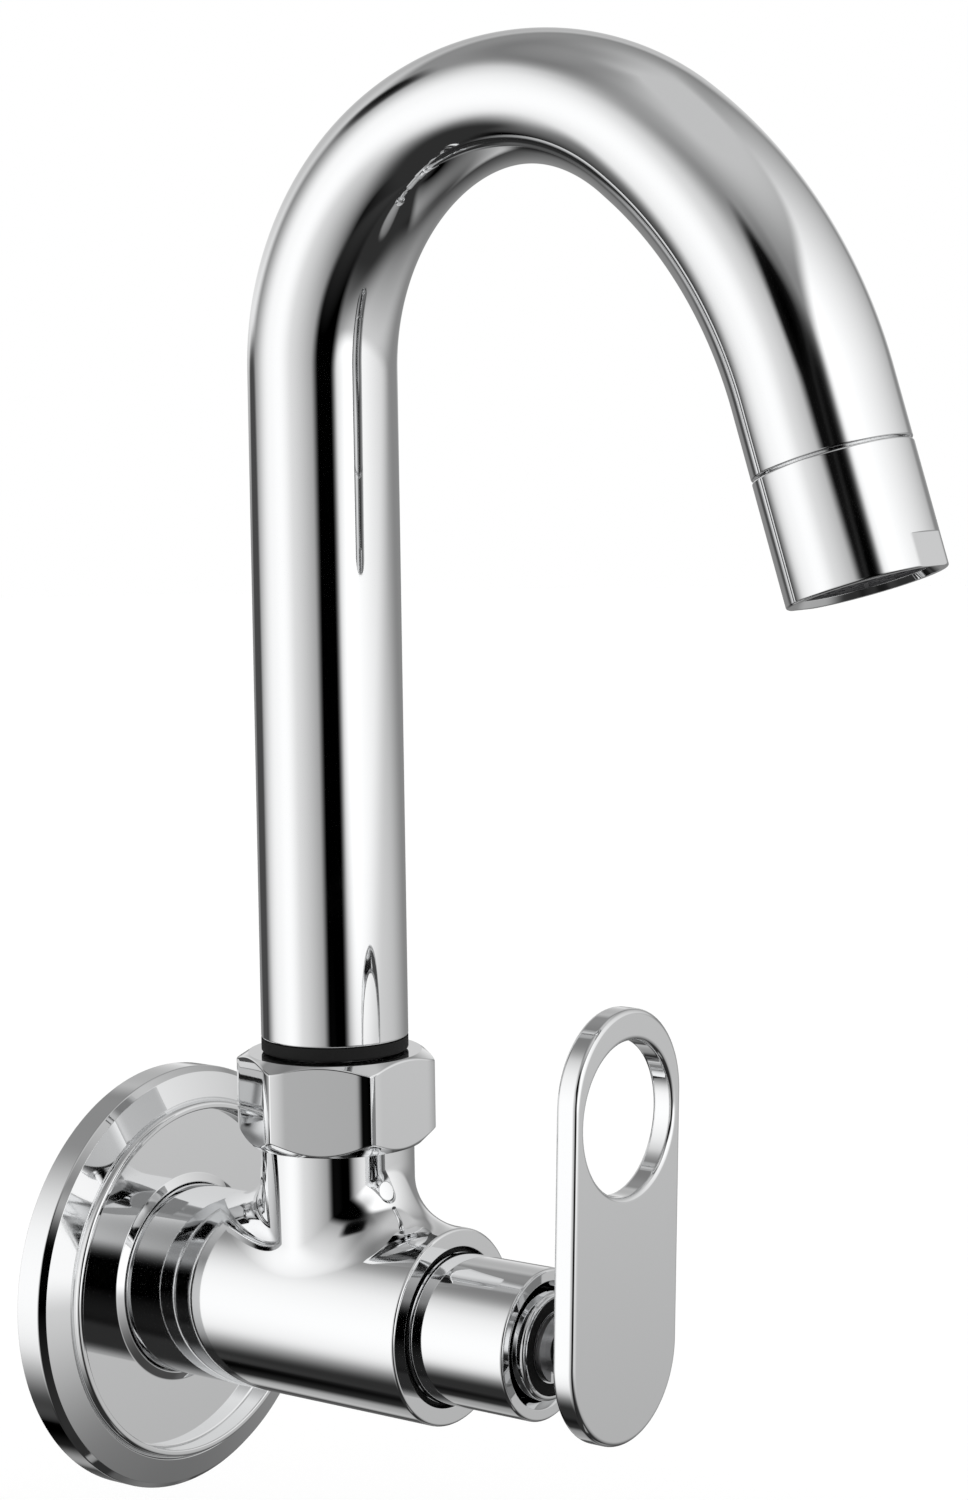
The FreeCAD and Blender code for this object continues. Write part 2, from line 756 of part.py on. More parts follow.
def make_headwork_body():
    nose = seat_depth + axial_play + disc_seal_length / 2
    shoulder = valve_thread_end + 2 * valve_ring_section
    body = turned_on_barrel([
        (nose, disc_bore_radius),
        (nose, cage_radius),
        (chamber_end, cage_radius),
        (chamber_end, valve_ring_root),
        (shoulder, valve_ring_root),
        (shoulder, valve_shoulder_radius),
        (barrel_front, valve_shoulder_radius),
        (barrel_front, valve_neck_radius),
        (valve_neck_end, valve_neck_radius, valve_neck_rounding),
        (valve_neck_end, dust_ring_outer),
        (dust_ring_seat, dust_ring_outer),
        (dust_ring_seat, dust_ring_inner),
        (valve_neck_end, dust_ring_inner),
        (valve_neck_end, spindle_radius + running_gap),
        (disc_bore_end, spindle_radius + running_gap),
        (disc_bore_end, disc_bore_radius),
    ])
    window_start = turning_disc_end + axial_play
    window_end = foot_depth - axial_play
    window_half = cage_radius + cut_margin
    corner = Vector(-window_width / 2, -window_end, -window_half)
    window = Part.makeBox(window_width, window_end - window_start, 2 * window_half, corner)
    key_radius = disc_radius + disc_lug_height + disc_gap
    key_start = nose - cut_margin
    keyway = disc_lugs(key_start, turning_disc_depth - key_start, key_radius, disc_lug_width + disc_gap)
    return body.cut([window, keyway])


def make_headwork_ring():
    centre = Vector(0, -valve_thread_end - valve_ring_section, 0)
    return seal_ring(valve_ring_root, front_recess_radius, centre, Y_AXIS)


def make_headwork_dust_ring():
    front = dust_ring_seat + dust_ring_length
    return turned_on_barrel([
        (dust_ring_seat, dust_ring_inner + press_gap),
        (dust_ring_seat, dust_ring_outer - press_gap),
        (front, dust_ring_outer - press_gap),
        (front, dust_ring_inner + press_gap),
    ])


def make_thrust_washer():
    return turned_on_barrel([
        (thrust_washer_depth + axial_play / 2, spindle_radius + running_gap),
        (thrust_washer_depth + axial_play / 2, disc_radius),
        (disc_bore_end, disc_radius),
        (disc_bore_end, spindle_radius + running_gap),
    ])


def spline_points(depth, grow):
    """Star-shaped outline of the spline at a depth, its teeth grown outwards by grow."""
    points = []
    for step in range(4 * spline_teeth):
        radius = (spline_outer if step % 4 in (0, 1) else spline_root) + grow
        angle = 2 * math.pi * (step + 0.5) / (4 * spline_teeth)
        points.append(Vector(radius * math.cos(angle), -depth, radius * math.sin(angle)))
    return points


def make_spindle():
    foot_radius = disc_radius - disc_gap
    corners = [
        (foot_depth, 0),
        (foot_depth, foot_radius),
        (thrust_washer_depth, foot_radius),
        (thrust_washer_depth, spindle_radius),
    ]
    for depth in sorted(spindle_ring_depths):
        low = depth - spindle_ring_width / 2
        high = depth + spindle_ring_width / 2
        corners += [(low, spindle_radius), (low, spindle_ring_root),
                    (high, spindle_ring_root), (high, spindle_radius)]
    corners += [
        (circlip_start, spindle_radius),
        (circlip_start, circlip_root),
        (circlip_end, circlip_root),
        (circlip_end, spindle_radius),
        (hub_back, spindle_radius),
        (hub_back, 0),
    ]
    shaft = turned_on_barrel(corners)
    spline = polygon_prism(spline_points(hub_back, 0), Vector(0, hub_back - spindle_end, 0))
    bar_start = turning_disc_end - drive_slot_depth + axial_play
    bar_width = drive_slot_width - 2 * running_gap
    corner = Vector(-disc_radius, -foot_depth, -bar_width / 2)
    bar = Part.makeBox(2 * disc_radius, foot_depth - bar_start, bar_width, corner)
    bar = bar.common(barrel_rod(foot_radius, bar_start, foot_depth))
    return leaned(shaft.fuse([spline, bar]).removeSplitter())


def make_spindle_rings():
    rings = []
    for depth in spindle_ring_depths:
        rings.append(seal_ring(spindle_ring_root, spindle_radius + running_gap, Vector(0, -depth, 0), Y_AXIS))
    return Part.makeCompound(rings)


def make_spindle_circlip():
    clip = turned_on_barrel([
        (circlip_start, circlip_root),
        (circlip_start, circlip_radius),
        (circlip_end, circlip_radius),
        (circlip_end, circlip_root),
    ])
    corner = Vector(-circlip_opening / 2, -circlip_end - cut_margin, -circlip_radius - cut_margin)
    reach = circlip_radius + cut_margin
    mouth = Part.makeBox(circlip_opening, circlip_thickness + 2 * cut_margin, reach, corner)
    return leaned(clip.cut(mouth))


def make_cartridge_sleeve():
    inner = valve_neck_radius + thread_gap
    thread_end = barrel_front + sleeve_thread_length
    return turned_on_barrel([
        (barrel_front, inner),
        (barrel_front, sleeve_radius - sleeve_root_chamfer),
        (barrel_front + sleeve_root_chamfer, sleeve_radius),
        (sleeve_front, sleeve_radius, sleeve_edge_rounding),
        (sleeve_front, sleeve_mouth_radius + sleeve_mouth_bevel),
        (sleeve_front - sleeve_mouth_bevel, sleeve_mouth_radius),
        (thread_end, sleeve_mouth_radius),
        (thread_end, inner),
    ])


def make_lever_hub():
    spigot_radius = hub_spigot_radius - press_gap
    spigot_end = lever_back + hub_spigot_length - press_gap
    hub = turned_on_barrel([
        (hub_back, 0),
        (hub_back, hub_radius - hub_edge_chamfer),
        (hub_back + hub_edge_chamfer, hub_radius),
        (lever_back, hub_radius),
        (lever_back, spigot_radius),
        (spigot_end, spigot_radius),
        (spigot_end, 0),
    ])
    start = hub_back - cut_margin
    length = spindle_end + press_gap - start
    socket = polygon_prism(spline_points(start, press_gap), Vector(0, -length, 0))
    return leaned(hub.cut([socket, grub_bore(thread_gap)]))


def grub_depth():
    """Depth of the grub screw's centre, in the middle of the hub."""
    return (hub_back + lever_back) / 2


def grub_bore(grow):
    """Radial hole through the hub's underside for the grub screw."""
    return Part.makeCylinder(grub_radius + grow, hub_radius, Vector(0, -grub_depth(), 0), -Z_AXIS)


def make_lever_grub_screw():
    start = spline_outer + press_gap
    length = hub_radius - grub_sink - start
    top = Vector(0, -grub_depth(), -start)
    screw = Part.makeCylinder(grub_radius, length, top, -Z_AXIS)
    points = []
    corner = grub_hex / math.sqrt(3)
    bottom = top - Vector(0, 0, length)
    for step in range(6):
        angle = math.radians(60 * step)
        points.append(bottom + Vector(corner * math.cos(angle), corner * math.sin(angle), 0))
    key = polygon_prism(points, Vector(0, 0, grub_hex_depth))
    return leaned(screw.cut(key))


def make_lever_plate():
    def place(x, z):
        return Vector(x, -lever_back, z)

    half = lever_half_width
    top = lever_top_centre
    bottom = lever_bottom_centre
    edges = [
        Part.Arc(place(half, top), place(0, top + half), place(-half, top)).toShape(),
        Part.makeLine(place(-half, top), place(-half, bottom)),
        Part.Arc(place(-half, bottom), place(0, bottom - half), place(half, bottom)).toShape(),
        Part.makeLine(place(half, bottom), place(half, top)),
    ]
    plate = Part.Face(Part.Wire(edges)).extrude(Vector(0, -lever_thickness, 0))
    start = Vector(0, cut_margin - lever_back, lever_hole_height)
    hole = Part.makeCylinder(lever_hole_radius, lever_thickness + 2 * cut_margin, start, -Y_AXIS)
    plate = plate.cut(hole)
    rims = [edge for edge in plate.Edges if edge.BoundBox.YLength < same_place]
    plate = plate.makeFillet(lever_edge_rounding, rims)
    pocket = barrel_rod(hub_spigot_radius, lever_back - cut_margin, lever_back + hub_spigot_length)
    return leaned(plate.cut(pocket))


PIECES = {
    "wall_flange": make_wall_flange,
    "flange_grip_ring": make_flange_ring,
    "tap_body": make_tap_body,
    "spout_nut": make_spout_nut,
    "spout_slip_washer": make_slip_washer,
    "spout_retaining_ring": make_retaining_ring,
    "spout_stem": make_spout_stem,
    "spout_o_rings": make_stem_rings,
    "spout_foot_ring": make_foot_ring,
    "spout_tube": make_spout_tube,
    "outlet_ferrule": make_outlet_ferrule,
    "aerator_shell": make_aerator_shell,
    "aerator_washer": make_aerator_washer,
    "aerator_insert": make_aerator_insert,
    "aerator_screens": make_aerator_screens,
    "headwork_body": make_headwork_body,
    "headwork_o_ring": make_headwork_ring,
    "headwork_dust_ring": make_headwork_dust_ring,
    "disc_seal": make_disc_seal,
    "fixed_disc": make_fixed_disc,
    "turning_disc": make_turning_disc,
    "thrust_washer": make_thrust_washer,
    "spindle": make_spindle,
    "spindle_o_rings": make_spindle_rings,
    "spindle_circlip": make_spindle_circlip,
    "cartridge_sleeve": make_cartridge_sleeve,
    "lever_hub": make_lever_hub,
    "lever_grub_screw": make_lever_grub_screw,
    "lever_plate": make_lever_plate,
}

os.makedirs("parts", exist_ok=True)
for name, make in PIECES.items():
    shape = make()
    shape.exportStep(os.path.join("parts", name + ".step"))
    box = shape.BoundBox
    print(f"{name:22s} solids {len(shape.Solids)} valid {shape.isValid()} volume {shape.Volume:10.1f}"
          f" y {-box.YMax:6.1f}..{-box.YMin:6.1f} z {box.ZMin:6.1f}..{box.ZMax:6.1f}")
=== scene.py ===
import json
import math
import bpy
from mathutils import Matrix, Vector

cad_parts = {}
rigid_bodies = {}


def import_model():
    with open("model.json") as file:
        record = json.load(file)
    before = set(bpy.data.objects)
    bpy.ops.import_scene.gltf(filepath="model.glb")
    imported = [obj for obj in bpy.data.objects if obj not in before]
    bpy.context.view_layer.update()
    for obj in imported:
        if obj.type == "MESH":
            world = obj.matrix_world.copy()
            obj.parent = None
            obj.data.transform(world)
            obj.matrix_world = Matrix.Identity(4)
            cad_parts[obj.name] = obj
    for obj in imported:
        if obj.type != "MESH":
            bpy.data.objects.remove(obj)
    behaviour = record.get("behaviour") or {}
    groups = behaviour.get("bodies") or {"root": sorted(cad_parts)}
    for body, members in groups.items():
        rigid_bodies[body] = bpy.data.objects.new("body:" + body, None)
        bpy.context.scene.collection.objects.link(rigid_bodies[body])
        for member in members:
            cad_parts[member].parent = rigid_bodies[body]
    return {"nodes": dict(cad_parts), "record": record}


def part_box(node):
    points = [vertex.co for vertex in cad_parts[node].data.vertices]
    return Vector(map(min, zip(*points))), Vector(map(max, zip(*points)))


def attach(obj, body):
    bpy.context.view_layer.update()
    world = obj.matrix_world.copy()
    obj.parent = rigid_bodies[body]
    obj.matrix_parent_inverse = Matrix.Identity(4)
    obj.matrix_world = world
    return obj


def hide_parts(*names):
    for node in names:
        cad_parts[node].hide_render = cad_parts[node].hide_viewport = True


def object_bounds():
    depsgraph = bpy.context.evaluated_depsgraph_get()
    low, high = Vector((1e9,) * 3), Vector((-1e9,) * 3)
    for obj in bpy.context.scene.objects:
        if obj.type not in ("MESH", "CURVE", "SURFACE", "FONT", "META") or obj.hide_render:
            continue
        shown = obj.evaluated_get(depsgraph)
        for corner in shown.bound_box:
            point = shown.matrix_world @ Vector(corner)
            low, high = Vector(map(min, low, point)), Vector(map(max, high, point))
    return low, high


bl_info = {
    "name": "Wall-mounted sink tap",
    "version": (1, 0, 0),
    "blender": (4, 5, 0),
    "location": "3D Viewport > Sidebar > Tap",
    "description": "Surfaces, finishes and a small studio for a sink tap with a swivelling spout",
    "category": "Add Mesh",
}

import bmesh
import bpy
import numpy as np
from bpy.props import FloatProperty, FloatVectorProperty, PointerProperty
from bpy.types import Operator, Panel, PropertyGroup
from mathutils import Matrix, Vector

# The frame: +Z up, metres, the origin on the wall plane at the barrel's axis. A depth is a distance
# from the wall towards the user, so y = -depth.
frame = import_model()
CAD_LOW, CAD_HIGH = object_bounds()

MM = 0.001
EDGE_BREAK = 0.12 * MM          # rounding of each edge that has none of its own
GUARD = 0.04 * MM               # from an arc's end to the point that keeps the next stretch flat
STUB = 1 * MM                   # stretch that a profile keeps on past an edge where another joins it
MERGE_DISTANCE = 0.001 * MM
NEARLY_ZERO = 1e-6

# How finely the pieces are drawn.
ARC_STEP = math.radians(8)
ROUND = 160                     # points round a turned piece
FINE_ROUND = 256                # points round the flange and the aerator shell
PATCH_ROWS = 16                 # rows from a window's edge in to the branch's rounding
BORE_ROWS = 15                  # rows along a bore between two windows
BODY_COUNTS = (64, 64)          # points along a side of the neck's window and round the rest
HUB_COUNTS = (12, 60)           # the same for the grub screw's hole
THREAD_ROWS = 112
TUBE_STEP = 1.6 * MM            # longest stretch along the spout tube
OUTLINE_POINTS = 13             # points along each part of half a flat of the nut
LEVER_BEND_POINTS = 97          # points round each end of the lever plate
LEVER_SIDE_POINTS = 33          # points along each of its sides
LEVER_FACE_ROWS = 14            # rows across each of its faces

# The window that is cut round a branch reaches past the branch's rounding by a margin.
WINDOW_MARGIN = 0.4 * MM        # past the neck's fillet
INNER_WINDOW_MARGIN = 1.5 * MM  # past the passage, inside the chamber
GRUB_MARGIN = 0.25 * MM         # past the grub screw's hole, outside the hub
GRUB_INNER_MARGIN = 0.2 * MM    # past that hole, inside the socket
GRUB_STUB = 0.3 * MM            # stretch that the hub's socket keeps on past its back edge
HUB_RIM_SHAPE = 1.2             # how many times as long around as along the hub's windows are

THREAD_STEP = 0.05 * MM         # from the plain end of the inlet thread in to its end cone
END_CONE = 0.7                  # length of that cone, in pitches
GRAIN_HEIGHT = 0.02 * MM        # height of tool marks and of moulded grain

FLANGE_LOW, FLANGE_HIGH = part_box("wall_flange")
BODY_LOW, BODY_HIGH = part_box("tap_body")
NUT_LOW, NUT_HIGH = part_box("spout_nut")
TUBE_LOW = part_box("spout_tube")[0]
SLEEVE_LOW, SLEEVE_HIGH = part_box("cartridge_sleeve")
HUB_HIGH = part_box("lever_hub")[1]
LEVER_LOW, LEVER_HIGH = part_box("lever_plate")


def length(name, metres, description):
    """A size that the sidebar shows as a length."""
    return FloatProperty(name=name, description=description, default=metres, min=0.0, precision=5,
                         subtype="DISTANCE", unit="LENGTH")


def angle(name, degrees, description):
    """An angle that the sidebar shows in degrees."""
    return FloatProperty(name=name, description=description, default=math.radians(degrees),
                         subtype="ANGLE", unit="ROTATION")


def amount(name, value, description):
    """A plain number."""
    return FloatProperty(name=name, description=description, default=value, precision=4)


def colour(name, value, description):
    """A colour, as red, green and blue from 0 to 1."""
    return FloatVectorProperty(name=name, description=description, default=value, min=0.0, max=1.0,
                               size=3, subtype="COLOR")


class FlangeSizes(PropertyGroup):
    """Wall flange, from the wall outwards"""
    radius: length("Radius", FLANGE_HIGH.x, "Outer radius of the rim")
    rim_height: length("Rim height", 4.7 * MM, "How far the rim stands off the wall")
    rim_rounding: length("Rim rounding", 0.5 * MM, "Rounding of the rim's front edge")
    bevel_height: length("Bevel height", 5.8 * MM, "Top of the bevel between rim and shoulder")
    bevel_width: length("Bevel width", 1.0 * MM, "Width of that bevel")
    shoulder_height: length("Shoulder height", 7.3 * MM, "Top of the sloping shoulder")
    shoulder_width: length("Shoulder width", 4.4 * MM, "Width of the shoulder")
    groove_depth: length("Groove depth", 0.4 * MM, "Depth of the groove at the bead's foot")
    groove_width: length("Groove width", 0.4 * MM, "Width of that groove")
    bead_width: length("Bead width", 1.5 * MM, "Width of the raised bead at its foot")
    bead_height: length("Bead height", -FLANGE_LOW.y, "Height of the bead off the wall")
    bead_slope: length("Bead slope", 0.3 * MM, "How much narrower the bead is at its top")
    bead_rounding: length("Bead rounding", 0.6 * MM, "Rounding of the bead's outer edge")
    bead_inner_rounding: length("Bead inner rounding", 0.3 * MM, "Rounding of its inner edge")
    face_height: length("Face height", 5.05 * MM, "Height of the dished face off the wall")
    dish_rounding: length("Dish rounding", 0.4 * MM, "Rounding round the dished face")
    lip_rise: length("Lip rise", 0.8 * MM, "How far the face rises in a flat cone at the barrel")
    lip_width: length("Lip width", 1.65 * MM, "Width of that cone")
    lip_rounding: length("Lip rounding", 0.5 * MM, "Rounding of the cone's edges")
    wall: length("Wall", 1.6 * MM, "Thickness of the sheet")
    collar_wall: length("Collar wall", 1.5 * MM, "Thickness of the collar behind the face")
    collar_length: length("Collar length", 3.05 * MM, "Length of the collar behind the face")
    hole_gap: length("Hole gap", 0.15 * MM, "Clearance round the barrel")


class BodySizes(PropertyGroup):
    """Tap body: inlet thread, barrel, neck and the water way inside"""
    barrel_radius: length("Barrel radius", BODY_HIGH.x, "Outside of the barrel")
    barrel_back: length("Barrel back", 2.0 * MM, "Depth at which the barrel begins")
    barrel_front: length("Barrel front", -BODY_LOW.y, "Depth of the barrel's front ring")
    barrel_rounding: length("Barrel rounding", 0.5 * MM, "Rounding of the front edge")
    back_rounding: length("Back rounding", 0.4 * MM, "Rounding of the back edge")
    groove_depth: length("Groove depth", 3.7 * MM, "Depth of the middle of the flange ring's groove")
    groove_width: length("Groove width", 1.9 * MM, "Width of that groove")
    groove_root: length("Groove root", 15.2 * MM, "Radius of that groove's bottom")
    neck_depth: length("Neck depth", 40.0 * MM, "Depth of the neck's axis")
    neck_radius: length("Neck radius", 13.22 * MM, "Outside of the neck's thread")
    neck_top: length("Neck top", BODY_HIGH.z, "Height of the neck's top")
    neck_rounding: length("Neck rounding", 0.5 * MM, "Rounding of the neck's top edge")
    neck_fillet: length("Neck fillet", 10.0 * MM, "Radius between the barrel and the neck")
    stem_bore: length("Stem bore", 10.35 * MM, "Radius of the bore for the spout's stem")
    stem_bore_depth: length("Stem bore depth", 15.1 * MM, "Depth of that bore")
    passage_radius: length("Passage radius", 8.0 * MM, "Water way from the valve to the neck")
    passage_rounding: length("Passage rounding", 0.3 * MM, "Rounding where it leaves the chamber")
    thread_radius: length("Inlet thread radius", 10.48 * MM, "Major radius of the inlet thread")
    thread_reach: length("Inlet thread reach", BODY_HIGH.y, "How far the thread goes into the wall")
    thread_pitch: length("Inlet thread pitch", 1.814 * MM, "From one thread to the next")
    thread_depth: length("Inlet thread depth", 1.1 * MM, "From the crest to the root")
    thread_neck: length("Inlet thread neck", 0.3 * MM, "Plain stretch between barrel and thread")
    thread_taper: length("Inlet thread taper", 1.2 * MM, "How much the radius falls at its end")
    inlet_bore: length("Inlet bore", 7.0 * MM, "Radius of the bore up to the valve's seat")
    seat_depth: length("Seat depth", 26.0 * MM, "Depth of the valve's seat")
    seat_pocket: length("Seat pocket", 10.6 * MM, "Radius of the pocket round the seat")
    chamber_start: length("Chamber start", 29.0 * MM, "Depth at which the valve chamber begins")
    chamber_end: length("Chamber end", 50.0 * MM, "Depth at which the valve thread begins")
    chamber_radius: length("Chamber radius", 13.0 * MM, "Inside of the valve chamber")
    valve_thread: length("Valve thread", 12.0 * MM, "Radius of the valve thread")
    recess_start: length("Recess start", 62.0 * MM, "Depth at which the front recess begins")
    recess_radius: length("Recess radius", 13.5 * MM, "Radius of the front recess")


class NutSizes(PropertyGroup):
    """Union nut between neck and spout"""
    across_flats: length("Across flats", 30.3 * MM, "Between the crowns of two opposite flats")
    bottom: length("Bottom", NUT_LOW.z, "Height of the nut's lower end")
    top: length("Top", NUT_HIGH.z, "Height of the nut's upper end")
    land_inset: length("Land inset", 0.4 * MM, "From a flat in to the round land on each end")
    corner_rounding: length("Corner rounding", 0.5 * MM, "Rounding of the upright corners")
    edge_rounding: length("Edge rounding", 0.5 * MM, "Rounding between flats and end chamfers")
    bottom_chamfer: angle("Bottom chamfer", 45.0, "Slope of the lower end chamfer")
    top_chamfer: angle("Top chamfer", 33.0, "Slope of the upper end chamfer")
    pillow: length("Pillow", 2.8 * MM, "How far from each corner the flats begin to curve")
    pillow_radius: length("Pillow radius", 10.6 * MM, "Radius of that curve")
    turn: angle("Turn", 1.0, "How the hexagon ends up when it is tight, clockwise from above")
    thread_radius: length("Thread radius", 13.27 * MM, "Inside of the nut's thread")
    lip_bottom: length("Lip bottom", 39.9 * MM, "Height of the underside of the nut's lip")
    lip_bore: length("Lip bore", 10.45 * MM, "Bore of the lip round the stem")


class SpoutSizes(PropertyGroup):
    """Swivelling spout: one bent tube"""
    radius: length("Tube radius", 12.5 * MM, "Outside of the round tube")
    wall: length("Tube wall", 1.2 * MM, "Thickness of the tube")
    bottom: length("Bottom", TUBE_LOW.z, "Height of the tube's lower end")
    leg_top: length("Leg top", 159.5 * MM, "Height at which the bend begins")
    first_radius: length("First bend", 42.0 * MM, "Radius of the bend's tighter part")
    first_angle: angle("First angle", 126.0, "How far the tighter part turns")
    second_radius: length("Second bend", 76.0 * MM, "Radius of the bend's wider part")
    second_angle: angle("Second angle", 36.5, "How far the wider part turns")
    tail: length("Tail", 11.0 * MM, "Straight end of the tube")
    flattening: amount("Flattening", 0.17, "How much thinner the bend is in its own plane")
    spread: amount("Spread", 0.05, "How much wider the bend is across that plane")
    bottom_rounding: length("Bottom rounding", 0.5 * MM, "Rounding of the tube's lower end")
    end_rounding: length("End rounding", 0.3 * MM, "Rounding of the tube's upper end")


class OutletSizes(PropertyGroup):
    """Aerator shell on the spout's end"""
    seam: length("Seam", 0.3 * MM, "Gap between tube and shell")
    length: length("Length", 20.0 * MM, "From the tube's end to the mouth")
    thread_radius: length("Thread radius", 11.05 * MM, "Inside of the shell's thread")
    thread_end: length("Thread end", 8.4 * MM, "Where the shell's thread ends")
    bore: length("Bore", 10.5 * MM, "Bore round the insert")
    insert_recess: length("Insert recess", 1.0 * MM, "From the mouth in to the insert")
    lip_wall: length("Lip wall", 1.3 * MM, "Thickness of the lip at the mouth")
    edge_rounding: length("Edge rounding", 0.35 * MM, "Rounding of the shell's edges")
    flat_depth: length("Flat depth", 0.7 * MM, "Depth of the spanner flats")
    flat_height: length("Flat height", 5.2 * MM, "Height of the spanner flats above the mouth")


class SleeveSizes(PropertyGroup):
    """Sleeve over the valve's neck"""
    radius: length("Radius", SLEEVE_HIGH.x, "Outside of the sleeve")
    back: length("Back", -SLEEVE_HIGH.y, "Depth of the sleeve's back")
    front: length("Front", -SLEEVE_LOW.y, "Depth of the sleeve's front ring")
    edge_rounding: length("Edge rounding", 0.5 * MM, "Rounding of the front edge")
    root_chamfer: length("Root chamfer", 0.4 * MM, "Chamfer against the barrel")
    mouth: length("Mouth", 9.6 * MM, "Radius of the mouth")
    mouth_bevel: length("Mouth bevel", 1.0 * MM, "Bevel inside the front ring")
    thread_radius: length("Thread radius", 9.05 * MM, "Inside of the sleeve's thread")
    thread_length: length("Thread length", 10.0 * MM, "Length of the sleeve's thread")


class LeverSizes(PropertyGroup):
    """Lever: hub and plate"""
    lean: angle("Lean", 2.6, "Clocking of the lever on its spline")
    hub_radius: length("Hub radius", 8.0 * MM, "Outside of the hub")
    hub_back: length("Hub back", -HUB_HIGH.y, "Depth of the hub's back")
    hub_chamfer: length("Hub chamfer", 0.5 * MM, "Chamfer of the hub's back edge")
    socket: length("Socket", 3.98 * MM, "Radius of the hub's socket")
    socket_end: length("Socket end", 94.5 * MM, "Depth of the socket's end")
    grub_depth: length("Grub depth", 92.45 * MM, "Depth of the grub screw's axis")
    grub_bore: length("Grub bore", 1.55 * MM, "Radius of the grub screw's hole")
    plate_back: length("Plate back", -LEVER_HIGH.y, "Depth of the plate's back")
    plate_front: length("Plate front", -LEVER_LOW.y, "Depth of the plate's front")
    half_width: length("Half width", 15.0 * MM, "Half of the plate's width")
    top_centre: length("Top centre", 42.0 * MM, "Centre of the round top above the hub's axis")
    bottom_centre: length("Bottom centre", 1.0 * MM, "Centre of the round bottom above the hub's axis")
    hole_radius: length("Hole radius", 12.6 * MM, "Finger hole")
    hole_centre: length("Hole centre", 39.2 * MM, "Finger hole's centre above the hub's axis")
    edge_rounding: length("Edge rounding", 0.9 * MM, "Rounding of the plate's edges")


class Finishes(PropertyGroup):
    """Colours and gloss of the materials"""
    chrome: colour("Chrome", (0.88, 0.885, 0.89), "Polished chrome plate")
    chrome_roughness: amount("Chrome roughness", 0.035, "Roughness of clean chrome")
    chrome_smudge: amount("Smudges", 0.05, "Roughness that faint smudges add")
    chrome_wave: length("Polish waves", 0.004 * MM, "Height of the waves that polishing leaves")
    steel: colour("Steel", (0.56, 0.56, 0.57), "Stainless steel")
    rubber: colour("Rubber", (0.012, 0.012, 0.012), "Seal rubber")
    white_plastic: colour("White plastic", (0.82, 0.82, 0.79), "Acetal")
    grey_plastic: colour("Grey plastic", (0.07, 0.07, 0.075), "Moulded insert")
    ceramic: colour("Ceramic", (0.86, 0.85, 0.81), "Lapped ceramic")


class StageSettings(PropertyGroup):
    """Camera, floor and light"""
    azimuth: angle("Azimuth", -53.535, "Camera's place round the tap, from straight ahead")
    elevation: angle("Elevation", 5.94, "Camera's height above the horizon")
    roll: angle("Roll", -0.794, "Camera's turn about its own axis")
    distance: length("Distance", 554.13 * MM, "Camera's distance from what it looks at")
    focal_length: amount("Focal length", 78.9, "In millimetres, for a sensor 36 mm high")
    aim_right: length("Aim right", 26.03 * MM, "From the neck's axis to the picture's middle")
    aim_height: length("Aim height", 95.41 * MM, "Height of the picture's middle")
    floor_drop: length("Floor drop", 60.0 * MM, "Floor below the tap's lowest point")
    floor_radius: length("Floor radius", 4.0, "Size of the round floor")
    floor_colour: colour("Floor", (0.8, 0.8, 0.8), "Pale floor")
    key_level: amount("Key light", 0.3, "Share of the light that comes from the lamp above")
    key_spread: angle("Key spread", 50.0, "How wide the lamp is, which softens its shadow")
    key_forward: angle("Key forward", 25.0, "How far the lamp stands forward of straight above")
    key_side: angle("Key side", -15.0, "How far the lamp stands to the right of straight above")


def soft_panel(name, description, *values):
    """A soft-edged panel or flag of the studio that polished metal reflects: azimuth, elevation and
    tilt of its middle, half width, half height, softness, squareness, brightness, and how much the
    brightness gains to the right, upwards and towards the rim."""
    return FloatVectorProperty(name=name, description=description, size=11, default=values)


